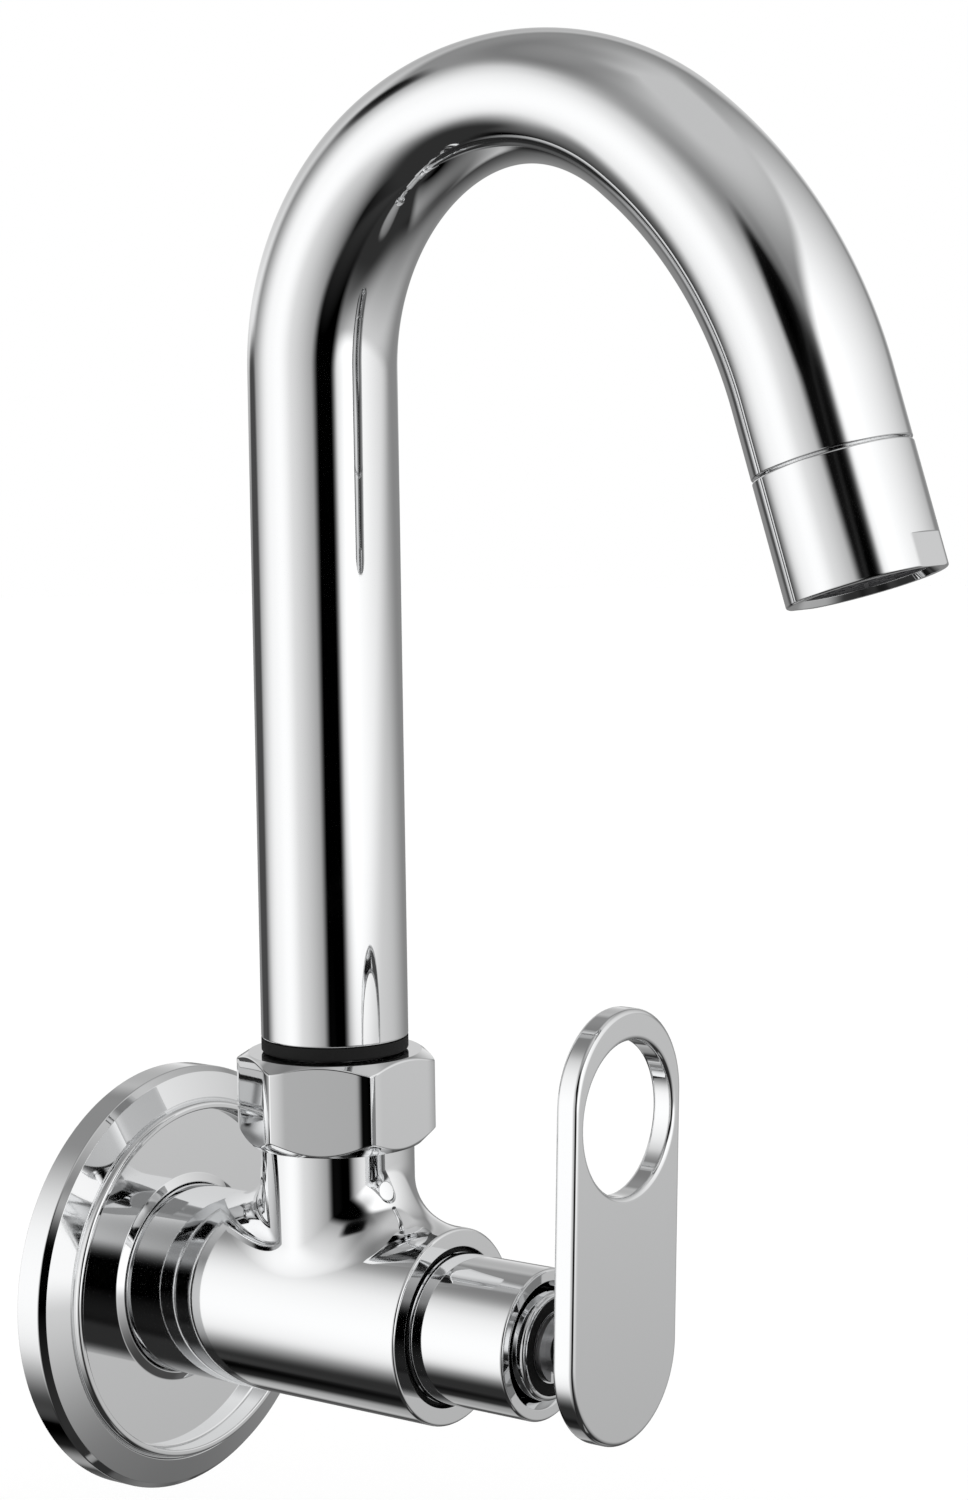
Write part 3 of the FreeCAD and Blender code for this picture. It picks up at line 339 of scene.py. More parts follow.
class StudioSettings(PropertyGroup):
    """Studio round the tap, as its chrome shows it"""
    ceiling: amount("Ceiling", 0.59, "Brightness straight above")
    horizon: amount("Horizon", 0.26, "Brightness between the panels")
    ground: amount("Ground", 0.03, "Brightness straight below")
    ceiling_edge: amount("Ceiling edge", 52.0, "Elevation at which the ceiling begins, in degrees")
    ceiling_softness: amount("Ceiling softness", 15.0, "How soft that edge is, in degrees")
    ground_edge: amount("Ground edge", -26.0, "Elevation at which the ground begins, in degrees")
    ground_softness: amount("Ground softness", 19.0, "How soft that edge is, in degrees")
    panel_1: soft_panel("Low right", "Dim reflector on the right, near the ground",
                        114, -58.5, 2, 47, 19, .3, 4.5, .23, -.07, .35, .08)
    panel_2: soft_panel("Low middle", "Small reflector on the ground",
                        10, -69, -3.5, 14, 13, .4, 2.4, .29, -.07, -.07, -.07)
    panel_3: soft_panel("Back", "Glow behind the tap",
                        141, 19, .4, 37, 18, .45, 3.9, .51, .05, -.18, .23)
    panel_4: soft_panel("Lower right box", "Lower part of the right softbox",
                        49.5, -25, -17, 84, 24, 1.0, 1.4, .41, -.57, .28, .01)
    panel_5: soft_panel("Right box", "Softbox on the right",
                        29, 24.7, 11.6, 68.6, 31, .22, 3.1, .92, -.51, -.03, -.08)
    panel_6: soft_panel("Left box", "Softbox on the left",
                        -100.5, -5.7, -19.8, 61, 42.5, .74, 9.3, .8, -.57, -.04, -.29)
    panel_7: soft_panel("Low flag", "Black flag in front of the tap, down to the ground",
                        -44.6, -25, 10, 16, 60, .62, 2.2, .01, -.01, -.04, -.01)
    panel_8: soft_panel("High flag", "Black flag beside the camera",
                        -67.4, 24.3, -22.7, 11.6, 13.3, .62, 3.75, .0, .0, .0, .01)
    panel_9: soft_panel("Wall shade", "Dim strip high behind the tap",
                        -167, 66.8, 1.6, 75, 17, 1.05, 3.9, .27, .0, .08, -.03)
    panel_10: soft_panel("Back flag", "Small black flag behind the tap",
                         -173, 34, -1, 11, 8, .87, 2.7, .01, .02, -.02, .06)
    panel_11: soft_panel("Low back flag", "Black flag low behind the tap",
                         179.4, -30.2, -34, 22, 21.7, .7, 8.0, .0, .2, .2, -.07)
    panel_12: soft_panel("Left glow", "Brightest part of the left softbox",
                         -124, -5, 0, 13, 24, 1.8, 2.0, 1.12, .0, .0, .0)
    panel_13: soft_panel("Middle back flag", "Dark strip level with the tap, behind it",
                         170, -5, 0, 14, 8, .5, 2.5, .07, .0, .0, .0)


def unit(vectors):
    """Each vector divided by its length."""
    return vectors / np.linalg.norm(vectors, axis=-1, keepdims=True)


def rounded_corner(before, after, rounding):
    """Points, measured from a corner, of the arc that touches both of its sides, and of a guard
    point just past each end of it. The arc is centre + rounding * (a turn from one foot to the other)."""
    half = 0.5 * math.acos(np.clip(before @ after, -1.0, 1.0))
    cut = rounding / math.tan(half)
    centre = unit(before + after) * rounding / math.sin(half)
    turn = math.pi - 2 * half
    share = np.linspace(0.0, 1.0, max(2, math.ceil(turn / ARC_STEP)) + 1)[:, None]
    first = before * cut - centre
    last = after * cut - centre
    arc = centre + (np.sin((1 - share) * turn) * first + np.sin(share * turn) * last) / math.sin(turn)
    return np.vstack([before * (cut + GUARD), arc, after * (cut + GUARD)])


def rounded_profile(corners, closed=True):
    """Points along a profile of (along, radius) or (along, radius, rounding) corners. Each corner
    becomes an arc, but the two ends of an open profile stay as they are."""
    places = np.array([corner[:2] for corner in corners])
    points = []
    for index, corner in enumerate(corners):
        here = places[index]
        if not closed and index in (0, len(corners) - 1):
            points.append(here[None, :])
            continue
        before = unit(places[index - 1] - here)
        after = unit(places[(index + 1) % len(corners)] - here)
        rounding = corner[2] if len(corner) > 2 else EDGE_BREAK
        points.append(here + rounded_corner(before, after, rounding))
    return np.vstack(points)


def divided(profile, step):
    """The same profile with points added so that no stretch is longer than step."""
    stretches = []
    for start, end in zip(profile[:-1], profile[1:]):
        count = max(1, math.ceil(np.linalg.norm(end - start) / step))
        stretches.append(start + (end - start) * np.arange(count)[:, None] / count)
    return np.vstack([*stretches, profile[-1:]])


def full_turn(count=ROUND):
    """Evenly spaced angles round a circle."""
    return np.arange(count) * math.tau / count


def placed(place, along, radius, turn):
    """Points as one array, put in space by place(along, radius, turn)."""
    return np.stack(np.broadcast_arrays(*place(along, radius, turn)), axis=-1)


def carried(profile, angles, place):
    """Grid of points: the profile's (along, radius) points down the rows and the angles along the
    columns, put in space by place."""
    return placed(place, profile[:, :1], profile[:, 1:], np.atleast_2d(angles))


def on_barrel(depth, radius, turn):
    """Round the barrel's axis: the angle is measured from straight up towards +X."""
    return radius * np.sin(turn), -depth, radius * np.cos(turn)


def on_neck(neck_depth):
    """Place function round the upright axis of the neck."""
    def place(height, radius, turn):
        return radius * np.cos(turn), -neck_depth - radius * np.sin(turn), height
    return place


def grid_faces(rows, columns, closed_rows, closed_columns):
    """Corner numbers of the quads between neighbouring points of a grid."""
    row = np.arange(rows if closed_rows else rows - 1)[:, None]
    column = np.arange(columns if closed_columns else columns - 1)[None, :]
    next_row = (row + 1) % rows
    next_column = (column + 1) % columns
    corners = (
        row * columns + column,
        row * columns + next_column,
        next_row * columns + next_column,
        next_row * columns + column,
    )
    return np.stack(np.broadcast_arrays(*corners), axis=-1).reshape(-1, 4)


def fresh(collection, name, *contents):
    """A new datablock, in place of one of the same name."""
    old = collection.get(name)
    if old is not None:
        collection.remove(old)
    return collection.new(name, *contents)


def merged_mesh(*grids):
    """Closed smooth mesh of (points, closed_rows, closed_columns) grids, merged where they meet,
    with its faces outwards."""
    points = []
    faces = []
    start = 0
    for grid, closed_rows, closed_columns in grids:
        rows, columns = grid.shape[:2]
        points.append(grid.reshape(-1, 3))
        faces.append(grid_faces(rows, columns, closed_rows, closed_columns) + start)
        start += rows * columns
    mesh = bpy.data.meshes.new("piece")
    mesh.from_pydata(np.vstack(points).tolist(), [], np.vstack(faces).tolist())
    shape = bmesh.new()
    shape.from_mesh(mesh)
    bmesh.ops.remove_doubles(shape, verts=shape.verts, dist=MERGE_DISTANCE)
    bmesh.ops.recalc_face_normals(shape, faces=shape.faces)
    shape.to_mesh(mesh)
    shape.free()
    mesh.shade_smooth()
    return mesh


def add_piece(node, body, mesh, slot="chrome_plate"):
    """Put a finished mesh in the scene in place of a CAD node, on that node's body."""
    piece = fresh(bpy.data.objects, node + "_skin", mesh)
    mesh.name = piece.name
    bpy.context.scene.collection.objects.link(piece)
    mesh.materials.append(finish_material(slot))
    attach(piece, body)
    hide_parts(node)


def window_rim(half_around, half_along, side_points):
    """Points round the rim of a rectangle on an unrolled cylinder, side_points to a side."""
    side = np.linspace(-1.0, 1.0, side_points + 1)[:-1]
    ones = np.ones(side_points)
    around = np.concatenate([ones, -side, -ones, side]) * half_around
    along = np.concatenate([side, ones, -side, -ones]) * half_along
    return np.stack([around, along])


def window_grid(run_radius, branch_radius, rounding, hollow, rim):
    """Skin of a round run from a rectangle's rim in to a round branch, as (x, along, z) rows.
    The patch is straight lines on the unrolled run. Then a ball of the rounding's radius rolls where
    run and branch meet. Its centre is run_radius + rounding from the run's axis, or run_radius -
    rounding where the branch is a hole in a solid run, and branch_radius + rounding from the
    branch's axis. The last row is where the ball touches the branch."""
    phi = np.arctan2(rim[1], rim[0])
    reach = run_radius - rounding if hollow else run_radius + rounding
    ball_x = (branch_radius + rounding) * np.cos(phi)
    ball_along = (branch_radius + rounding) * np.sin(phi)
    ball_z = np.sqrt(reach ** 2 - ball_x ** 2)
    touch = np.stack([run_radius * np.arcsin(ball_x / reach), ball_along])
    gap = np.linalg.norm(touch - rim, axis=0)
    share = np.linspace(0.0, 1.0, PATCH_ROWS)[:, None]
    share = np.vstack([share[:-1] + 0 * gap, (1 - GUARD / gap)[None, :], 0 * gap + 1])
    flat = rim[:, None, :] + (touch - rim)[:, None, :] * share
    bent = flat[0] / run_radius
    patch = np.stack([run_radius * np.sin(bent), flat[1], run_radius * np.cos(bent)], axis=-1)
    outward = 1.0 if hollow else -1.0
    to_run = outward * np.stack([ball_x, 0 * ball_x, ball_z], axis=-1) / reach
    to_branch = np.stack([-np.cos(phi), -np.sin(phi), 0 * phi], axis=-1)
    turn = np.arccos(np.sum(to_run * to_branch, axis=-1))[None, :, None]
    steps = max(3, math.ceil(turn.max() / ARC_STEP * 2))
    share = np.linspace(0.0, 1.0, steps + 1)[:, None, None]
    swung = (np.sin((1 - share) * turn) * to_run + np.sin(share * turn) * to_branch) / np.sin(turn)
    ball = np.stack([ball_x, ball_along, ball_z], axis=-1)
    return np.concatenate([patch, ball + rounding * swung], axis=0)


def branched_grids(outer, inner, middle, runs, rim_shape, counts, centre):
    """Grids of a hollow round run with one round branch, all round its wall, and the angles of the
    outer columns. outer and inner are (run radius, branch radius, rounding, hollow, half length of
    the window), and a window is rim_shape times as long around as along. middle is the branch's
    (height, radius) profile between them. runs holds, for each end, the run's outer (depth, radius)
    profile past the window, its (start, end, radius) bore, or None where it is solid, and the inner
    profile back to the inner window. The two windows are cut at different angles, so a bore's rows
    turn from one to the other. counts are the points along a window's side and round the rest."""
    grids = []
    windows = []
    turns = []
    side_points, rest_points = counts
    for run_radius, branch_radius, rounding, hollow, half_along in (outer, inner):
        half_around = half_along * rim_shape
        rim = window_rim(half_around, half_along, side_points)
        windows.append(window_grid(run_radius, branch_radius, rounding, hollow, rim))
        edge = np.linspace(half_around, -half_around, side_points + 1) / run_radius
        rest = np.linspace(edge[-1], edge[0] - math.tau, rest_points + 1)
        turns.append(np.concatenate([edge, rest[1:-1]]))
        side = centre + np.linspace(-half_along, half_along, side_points + 1)
        strip = np.stack([side, 0 * side + run_radius], axis=-1)
        grids.append((carried(strip, rest, on_barrel), False, False))
    phi = np.arctan2(rim[1], rim[0])
    neck = carried(middle, phi, lambda height, radius, turn: (
        radius * np.cos(turn), radius * np.sin(turn), height))
    rows = np.concatenate([windows[0], neck, windows[1][::-1]], axis=0)
    skin = np.stack([rows[..., 0], -centre - rows[..., 1], rows[..., 2]], axis=-1)
    grids.append((skin, False, True))
    for outside, bore, inside in runs:
        outer_rows = carried(outside, turns[0], on_barrel)
        inner_rows = carried(inside, turns[1], on_barrel)
        if bore is None:
            grids += [(outer_rows, False, True), (inner_rows, False, True)]
            continue
        start, end, radius = bore
        share = np.linspace(0.0, 1.0, BORE_ROWS)[:, None]
        profile = np.hstack([start + (end - start) * share, 0 * share + radius])
        bore_rows = carried(profile, turns[0] + (turns[1] - turns[0]) * share, on_barrel)
        grids.append((np.concatenate([outer_rows, bore_rows, inner_rows]), False, True))
    return grids, turns[0]


def flange_mesh(sizes):
    """Pressed flange: one closed profile turned round the barrel's axis."""
    shoulder_outer = sizes.radius - sizes.bevel_width
    shoulder_inner = shoulder_outer - sizes.shoulder_width
    bead_outer = shoulder_inner - sizes.groove_width
    bead_inner = bead_outer - sizes.bead_width
    hole = BODY_HIGH.x + sizes.hole_gap
    inside = sizes.face_height - sizes.wall
    collar_end = inside - sizes.collar_length
    profile = rounded_profile([
        (0.0, sizes.radius),
        (sizes.rim_height, sizes.radius, sizes.rim_rounding),
        (sizes.bevel_height, shoulder_outer),
        (sizes.shoulder_height, shoulder_inner),
        (sizes.shoulder_height - sizes.groove_depth, bead_outer),
        (sizes.bead_height, bead_outer - sizes.bead_slope, sizes.bead_rounding),
        (sizes.bead_height, bead_inner, sizes.bead_inner_rounding),
        (sizes.face_height, bead_inner, sizes.dish_rounding),
        (sizes.face_height, hole + sizes.lip_width, sizes.lip_rounding),
        (sizes.face_height + sizes.lip_rise, hole, sizes.lip_rounding / 2),
        (collar_end, hole),
        (collar_end, hole + sizes.collar_wall),
        (inside, hole + sizes.collar_wall),
        (inside, bead_inner + sizes.wall),
        (sizes.shoulder_height - sizes.wall, bead_inner + sizes.wall),
        (sizes.bevel_height - sizes.wall, sizes.radius - sizes.wall),
        (0.0, sizes.radius - sizes.wall),
    ])
    return merged_mesh((carried(profile, full_turn(FINE_ROUND), on_barrel), True, True))


def inlet_thread_grid(sizes, turn):
    """Inlet thread, and the depth at which it ends: radius = major radius - thread depth * wave *
    fade. The wave goes once a pitch from crest to root and back with an ease, and climbs one pitch
    a turn. The fade rises over the first pitch and falls over the last."""
    start = sizes.barrel_back - sizes.thread_neck
    end = sizes.thread_pitch * END_CONE - sizes.thread_reach
    rows = np.linspace(start, end, THREAD_ROWS)[:, None]
    phase = rows / sizes.thread_pitch - turn[None, :] / math.tau
    wave = np.abs(2 * (phase - np.floor(phase)) - 1)
    wave = wave * wave * (3 - 2 * wave)
    fade_in = np.clip((start - rows) / sizes.thread_pitch, 0, 1)
    fade_out = np.clip((rows - end) / sizes.thread_pitch, 0, 1)
    radius = sizes.thread_radius - sizes.thread_depth * wave * (fade_in * fade_out)
    return placed(on_barrel, rows, radius, turn[None, :]), end


def body_mesh(sizes):
    """Cast body: barrel, neck on a rolling-ball fillet, thread, and the water way through it. The
    neck's window spans half the barrel's girth."""
    window = sizes.neck_radius + sizes.neck_fillet + WINDOW_MARGIN
    inner_window = sizes.passage_radius + INNER_WINDOW_MARGIN
    rim_shape = sizes.barrel_radius * math.pi / 2 / window
    socket_end = sizes.neck_top - sizes.stem_bore_depth
    middle = rounded_profile([
        (sizes.neck_top - 3 * STUB, sizes.neck_radius),
        (sizes.neck_top, sizes.neck_radius, sizes.neck_rounding),
        (sizes.neck_top, sizes.stem_bore),
        (socket_end, sizes.stem_bore),
        (socket_end, sizes.passage_radius),
        (sizes.chamber_radius + STUB, sizes.passage_radius),
    ], closed=False)
    front_outside = rounded_profile([
        (sizes.neck_depth + window, sizes.barrel_radius),
        (sizes.barrel_front, sizes.barrel_radius, sizes.barrel_rounding),
        (sizes.barrel_front, sizes.recess_radius),
        (sizes.recess_start, sizes.recess_radius),
        (sizes.recess_start, sizes.valve_thread),
        (sizes.recess_start - STUB, sizes.valve_thread),
    ], closed=False)
    front_inside = rounded_profile([
        (sizes.chamber_end + STUB, sizes.valve_thread),
        (sizes.chamber_end, sizes.valve_thread),
        (sizes.chamber_end, sizes.chamber_radius, EDGE_BREAK / 2),
        (sizes.neck_depth + inner_window, sizes.chamber_radius),
    ], closed=False)
    groove_front = sizes.groove_depth + sizes.groove_width / 2
    groove_back = sizes.groove_depth - sizes.groove_width / 2
    back_outside = rounded_profile([
        (sizes.neck_depth - window, sizes.barrel_radius),
        (groove_front, sizes.barrel_radius),
        (groove_front, sizes.groove_root),
        (groove_back, sizes.groove_root),
        (groove_back, sizes.barrel_radius),
        (sizes.barrel_back, sizes.barrel_radius, sizes.back_rounding),
        (sizes.barrel_back, sizes.thread_radius),
        (sizes.barrel_back - sizes.thread_neck, sizes.thread_radius),
    ], closed=False)
    back_inside = rounded_profile([
        (sizes.seat_depth - STUB, sizes.inlet_bore),
        (sizes.seat_depth, sizes.inlet_bore),
        (sizes.seat_depth, sizes.seat_pocket),
        (sizes.chamber_start, sizes.seat_pocket),
        (sizes.chamber_start, sizes.chamber_radius),
        (sizes.neck_depth - inner_window, sizes.chamber_radius),
    ], closed=False)
    front_bore = (sizes.recess_start - STUB, sizes.chamber_end + STUB, sizes.valve_thread)
    back_bore = (STUB - sizes.thread_reach, sizes.seat_depth - STUB, sizes.inlet_bore)
    grids, turn = branched_grids(
        (sizes.barrel_radius, sizes.neck_radius, sizes.neck_fillet, False, window),
        (sizes.chamber_radius, sizes.passage_radius, sizes.passage_rounding, False, inner_window),
        middle,
        ((front_outside, front_bore, front_inside), (back_outside[:1], back_bore, back_inside)),
        rim_shape, BODY_COUNTS, sizes.neck_depth)
    # The back's outside goes on over the thread, whose rows need the columns' angles.
    thread, thread_end = inlet_thread_grid(sizes, turn)
    end_profile = rounded_profile([
        (thread_end, sizes.thread_radius),
        (thread_end, sizes.thread_radius - THREAD_STEP),
        (-sizes.thread_reach, sizes.thread_radius - sizes.thread_taper),
        (-sizes.thread_reach, sizes.inlet_bore),
        (STUB - sizes.thread_reach, sizes.inlet_bore),
    ], closed=False)
    back_rows = grids.pop()[0]
    back_rows = np.concatenate([
        carried(back_outside, turn, on_barrel),
        thread,
        carried(end_profile, turn, on_barrel),
        back_rows[1:],
    ])
    return merged_mesh(*grids, (back_rows, False, True))


def hexagon_outline(sizes):
    """Radius and angle of points round a hexagon whose flats curve gently before the rounded
    corners. From a flat's middle the outline runs straight, then along an arc of the pillow's
    radius, and then along an arc of the corner's rounding to the corner's own line, 30 degrees on."""
    sixth = math.pi / 6
    flat = sizes.across_flats / 2
    rounding = sizes.corner_rounding
    gentle = sizes.pillow_radius
    straight = flat * math.tan(sixth) - sizes.pillow
    # The two arcs meet where the corner arc's centre lies on the corner's line.
    lean = math.cos(sixth) * straight - math.sin(sixth) * (flat - gentle)
    bend = sixth - math.asin(lean / (gentle - rounding))
    share = np.linspace(0.0, 1.0, OUTLINE_POINTS)
    first = bend * share
    pillow = np.stack([flat - gentle + gentle * np.cos(first), straight + gentle * np.sin(first)])
    second = bend + (sixth - bend) * share
    middle = pillow[:, -1:] - rounding * np.array([[math.cos(bend)], [math.sin(bend)]])
    corner = middle + rounding * np.stack([np.cos(second), np.sin(second)])
    face = np.stack([0 * share + flat, straight * share])
    half = np.hstack([face[:, :-1], pillow[:, :-1], corner[:, :-1]])
    radius = np.hypot(*half)
    turn = np.arctan2(half[1], half[0])
    end = np.hypot(*corner[:, -1:])
    radii = np.concatenate([radius, end, radius[:0:-1]])
    turns = np.concatenate([turn, [sixth], 2 * sixth - turn[:0:-1]]) - sixth
    around = turns[None, :] + sizes.turn + np.arange(6)[:, None] * 2 * sixth
    return np.tile(radii, 6), around.ravel()


def nut_mesh(sizes, body):
    """Union nut: at each angle the profile runs out along the end chamfer to the hexagon's radius
    there, up the flat and back in, with the two edges between chamfer and flat rounded."""
    radius, turn = hexagon_outline(sizes)
    land = sizes.across_flats / 2 - sizes.land_inset
    up = np.array([1.0, 0.0])
    ends = []
    for chamfer in (sizes.bottom_chamfer, sizes.top_chamfer):
        rise = (radius - land) * math.tan(chamfer)
        inwards = np.array([-math.sin(chamfer), -math.cos(chamfer)])
        edge = rounded_corner(inwards, up, sizes.edge_rounding)
        ends.append((rise + edge[:, :1], radius + edge[:, 1:], math.tan(chamfer) * STUB))
    (low, low_radius, low_slope), (high, high_radius, high_slope) = ends
    lower = np.stack([sizes.bottom + low, low_radius], axis=-1)
    upper = np.stack([sizes.top - high[::-1], high_radius[::-1]], axis=-1)
    start = rounded_profile([
        (sizes.bottom, sizes.thread_radius),
        (sizes.bottom, land, EDGE_BREAK),
        (sizes.bottom + low_slope, land + STUB),
    ], closed=False)[1:-1]
    finish = rounded_profile([
        (sizes.top - high_slope, land + STUB),
        (sizes.top, land, EDGE_BREAK),
        (sizes.top, sizes.lip_bore, EDGE_BREAK * 2),
        (sizes.lip_bottom, sizes.lip_bore),
        (sizes.lip_bottom, sizes.thread_radius),
        (sizes.bottom, sizes.thread_radius),
        (sizes.bottom, land),
    ], closed=False)[1:-1]
    columns = np.ones((1, len(turn), 1))
    rows = np.concatenate([start[:, None, :] * columns, lower, upper, finish[:, None, :] * columns])
    grid = placed(on_neck(body.neck_depth), rows[..., 0], rows[..., 1], turn[None, :])
    return merged_mesh((grid, True, True))


def spout_line(sizes, distance):
    """How far the tube's centre line has turned, gone out and gone up after a distance from its
    lower end: straight up, then an arc of the first radius, an arc of the second, and a straight tail."""
    leg = sizes.leg_top - sizes.bottom
    first = sizes.first_radius * sizes.first_angle
    second = sizes.second_radius * sizes.second_angle
    total = sizes.first_angle + sizes.second_angle
    turned_first = np.clip((distance - leg) / sizes.first_radius, 0, sizes.first_angle)
    turned_second = np.clip((distance - leg - first) / sizes.second_radius, 0, sizes.second_angle)
    turned = turned_first + turned_second
    straight = np.minimum(distance, leg)
    tail = np.maximum(distance - leg - first - second, 0)
    bend = sizes.first_radius - sizes.second_radius
    corner = sizes.first_angle
    past = turned_second > 0
    out = np.where(past, bend * (1 - np.cos(corner)) + sizes.second_radius * (1 - np.cos(turned)),
                   sizes.first_radius * (1 - np.cos(turned_first)))
    rise = np.where(past, bend * np.sin(corner) + sizes.second_radius * np.sin(turned),
                    sizes.first_radius * np.sin(turned_first))
    out = out + tail * np.sin(total)
    height = sizes.bottom + straight + rise + tail * np.cos(total)
    return turned, out, height


def spout_place(sizes, neck_depth):
    """Place function along the spout: an oval section, thinner in the bend's plane and wider across
    it by shares that swell and fade as the square of a sine over the bend."""
    total = sizes.first_angle + sizes.second_angle

    def place(distance, radius, turn):
        turned, out, height = spout_line(sizes, distance)
        share = np.sin(math.pi * turned / total) ** 2
        across = radius * (1 + sizes.spread * share) * np.cos(turn)
        thin = radius * (1 - sizes.flattening * share) * np.sin(turn)
        return across, -neck_depth - out - thin * np.cos(turned), height - thin * np.sin(turned)
    return place


def spout_length(sizes):
    """Length of the tube's centre line."""
    leg = sizes.leg_top - sizes.bottom
    bends = sizes.first_radius * sizes.first_angle + sizes.second_radius * sizes.second_angle
    return leg + bends + sizes.tail


def tube_mesh(sizes, body):
    """Spout tube: the closed profile of its wall carried along the spout's line."""
    end = spout_length(sizes)
    inner = sizes.radius - sizes.wall
    profile = rounded_profile([
        (0.0, inner),
        (0.0, sizes.radius, sizes.bottom_rounding),
        (end, sizes.radius, sizes.end_rounding),
        (end, inner),
    ])
    profile = divided(np.vstack([profile, profile[:1]]), TUBE_STEP)[:-1]
    return merged_mesh((carried(profile, full_turn(), spout_place(sizes, body.neck_depth)), True, True))


def outlet_mesh(sizes, spout, body):
    """Aerator shell: a turned profile carried on along the spout's tail, with its radius held
    within two flats near the mouth: radius * |sin(turn)| is at most the flats' distance."""
    profile = rounded_profile([
        (sizes.seam, sizes.thread_radius),
        (sizes.seam, spout.radius, sizes.edge_rounding),
        (sizes.length, spout.radius, sizes.edge_rounding),
        (sizes.length, spout.radius - sizes.lip_wall),
        (sizes.length - sizes.insert_recess, sizes.bore),
        (sizes.thread_end, sizes.bore),
        (sizes.thread_end, sizes.thread_radius),
    ])
    # Four rows at the ledge above the flats: the second is still round and the third is cut.
    ledge = sizes.length - sizes.flat_height
    outside = np.argmax(profile[:, 0] > ledge)
    steps = ledge + GUARD * np.array([-1.0, 0.0, 0.0, 1.0])
    steps = np.stack([steps, 0 * steps + spout.radius], axis=-1)
    profile = np.vstack([profile[:outside], steps, profile[outside:]])
    turn = full_turn(FINE_ROUND)
    flat = spout.radius - sizes.flat_depth
    cut = flat / np.maximum(np.abs(np.sin(turn)), NEARLY_ZERO)
    along, radius = profile[:, :1], profile[:, 1:]
    row = np.arange(len(profile))[:, None]
    near_mouth = (row >= outside + 2) & (radius > flat - sizes.lip_wall / 4)
    radius = np.where(near_mouth, np.minimum(radius, cut[None, :]), radius)
    place = spout_place(spout, body.neck_depth)
    return merged_mesh((placed(place, spout_length(spout) + along, radius, turn[None, :]), True, True))


def sleeve_mesh(sizes):
    """Sleeve: one closed profile turned round the barrel's axis."""
    thread_end = sizes.back + sizes.thread_length
    profile = rounded_profile([
        (sizes.back, sizes.thread_radius),
        (sizes.back, sizes.radius - sizes.root_chamfer),
        (sizes.back + sizes.root_chamfer, sizes.radius),
        (sizes.front, sizes.radius, sizes.edge_rounding),
        (sizes.front, sizes.mouth + sizes.mouth_bevel),
        (sizes.front - sizes.mouth_bevel, sizes.mouth),
        (thread_end, sizes.mouth),
        (thread_end, sizes.thread_radius),
    ])
    return merged_mesh((carried(profile, full_turn(), on_barrel), True, True))


def leaned(grid, lean):
    """Turn points about the barrel's axis by the lever's clocking, its top towards +X."""
    x, y, z = np.moveaxis(grid, -1, 0)
    turned_x = x * math.cos(lean) + z * math.sin(lean)
    turned_z = z * math.cos(lean) - x * math.sin(lean)
    return np.stack([turned_x, y, turned_z], axis=-1)


def hub_mesh(sizes):
    """Hub: a short run with the grub screw's hole as its branch, turned upside down."""
    window = sizes.grub_bore + GRUB_MARGIN
    inner_window = sizes.grub_bore + GRUB_INNER_MARGIN
    front_outside = rounded_profile([
        (sizes.grub_depth + window, sizes.hub_radius),
        (sizes.plate_back, sizes.hub_radius),
        (sizes.plate_back, 0.0),
    ], closed=False)
    front_inside = rounded_profile([
        (sizes.socket_end, 0.0),
        (sizes.socket_end, sizes.socket),
        (sizes.grub_depth + inner_window, sizes.socket),
    ], closed=False)
    bore_start = sizes.hub_back + GRUB_STUB
    back_outside = rounded_profile([
        (sizes.grub_depth - window, sizes.hub_radius),
        (sizes.hub_back + sizes.hub_chamfer, sizes.hub_radius),
        (sizes.hub_back, sizes.hub_radius - sizes.hub_chamfer),
        (sizes.hub_back, sizes.socket),
        (bore_start, sizes.socket),
    ], closed=False)
    back_inside = np.array([[sizes.grub_depth - inner_window, sizes.socket]])
    back_bore = (bore_start, sizes.grub_depth - inner_window, sizes.socket)
    middle = np.array([
        [sizes.hub_radius - STUB, sizes.grub_bore],
        [sizes.socket + STUB, sizes.grub_bore],
    ])
    grids, _ = branched_grids(
        (sizes.hub_radius, sizes.grub_bore, EDGE_BREAK, True, window),
        (sizes.socket, sizes.grub_bore, EDGE_BREAK, False, inner_window),
        middle,
        ((front_outside, None, front_inside), (back_outside, back_bore, back_inside)),
        HUB_RIM_SHAPE, HUB_COUNTS, sizes.grub_depth)
    upside_down = sizes.lean + math.pi
    return merged_mesh(*((leaned(grid, upside_down), rows, columns) for grid, rows, columns in grids))


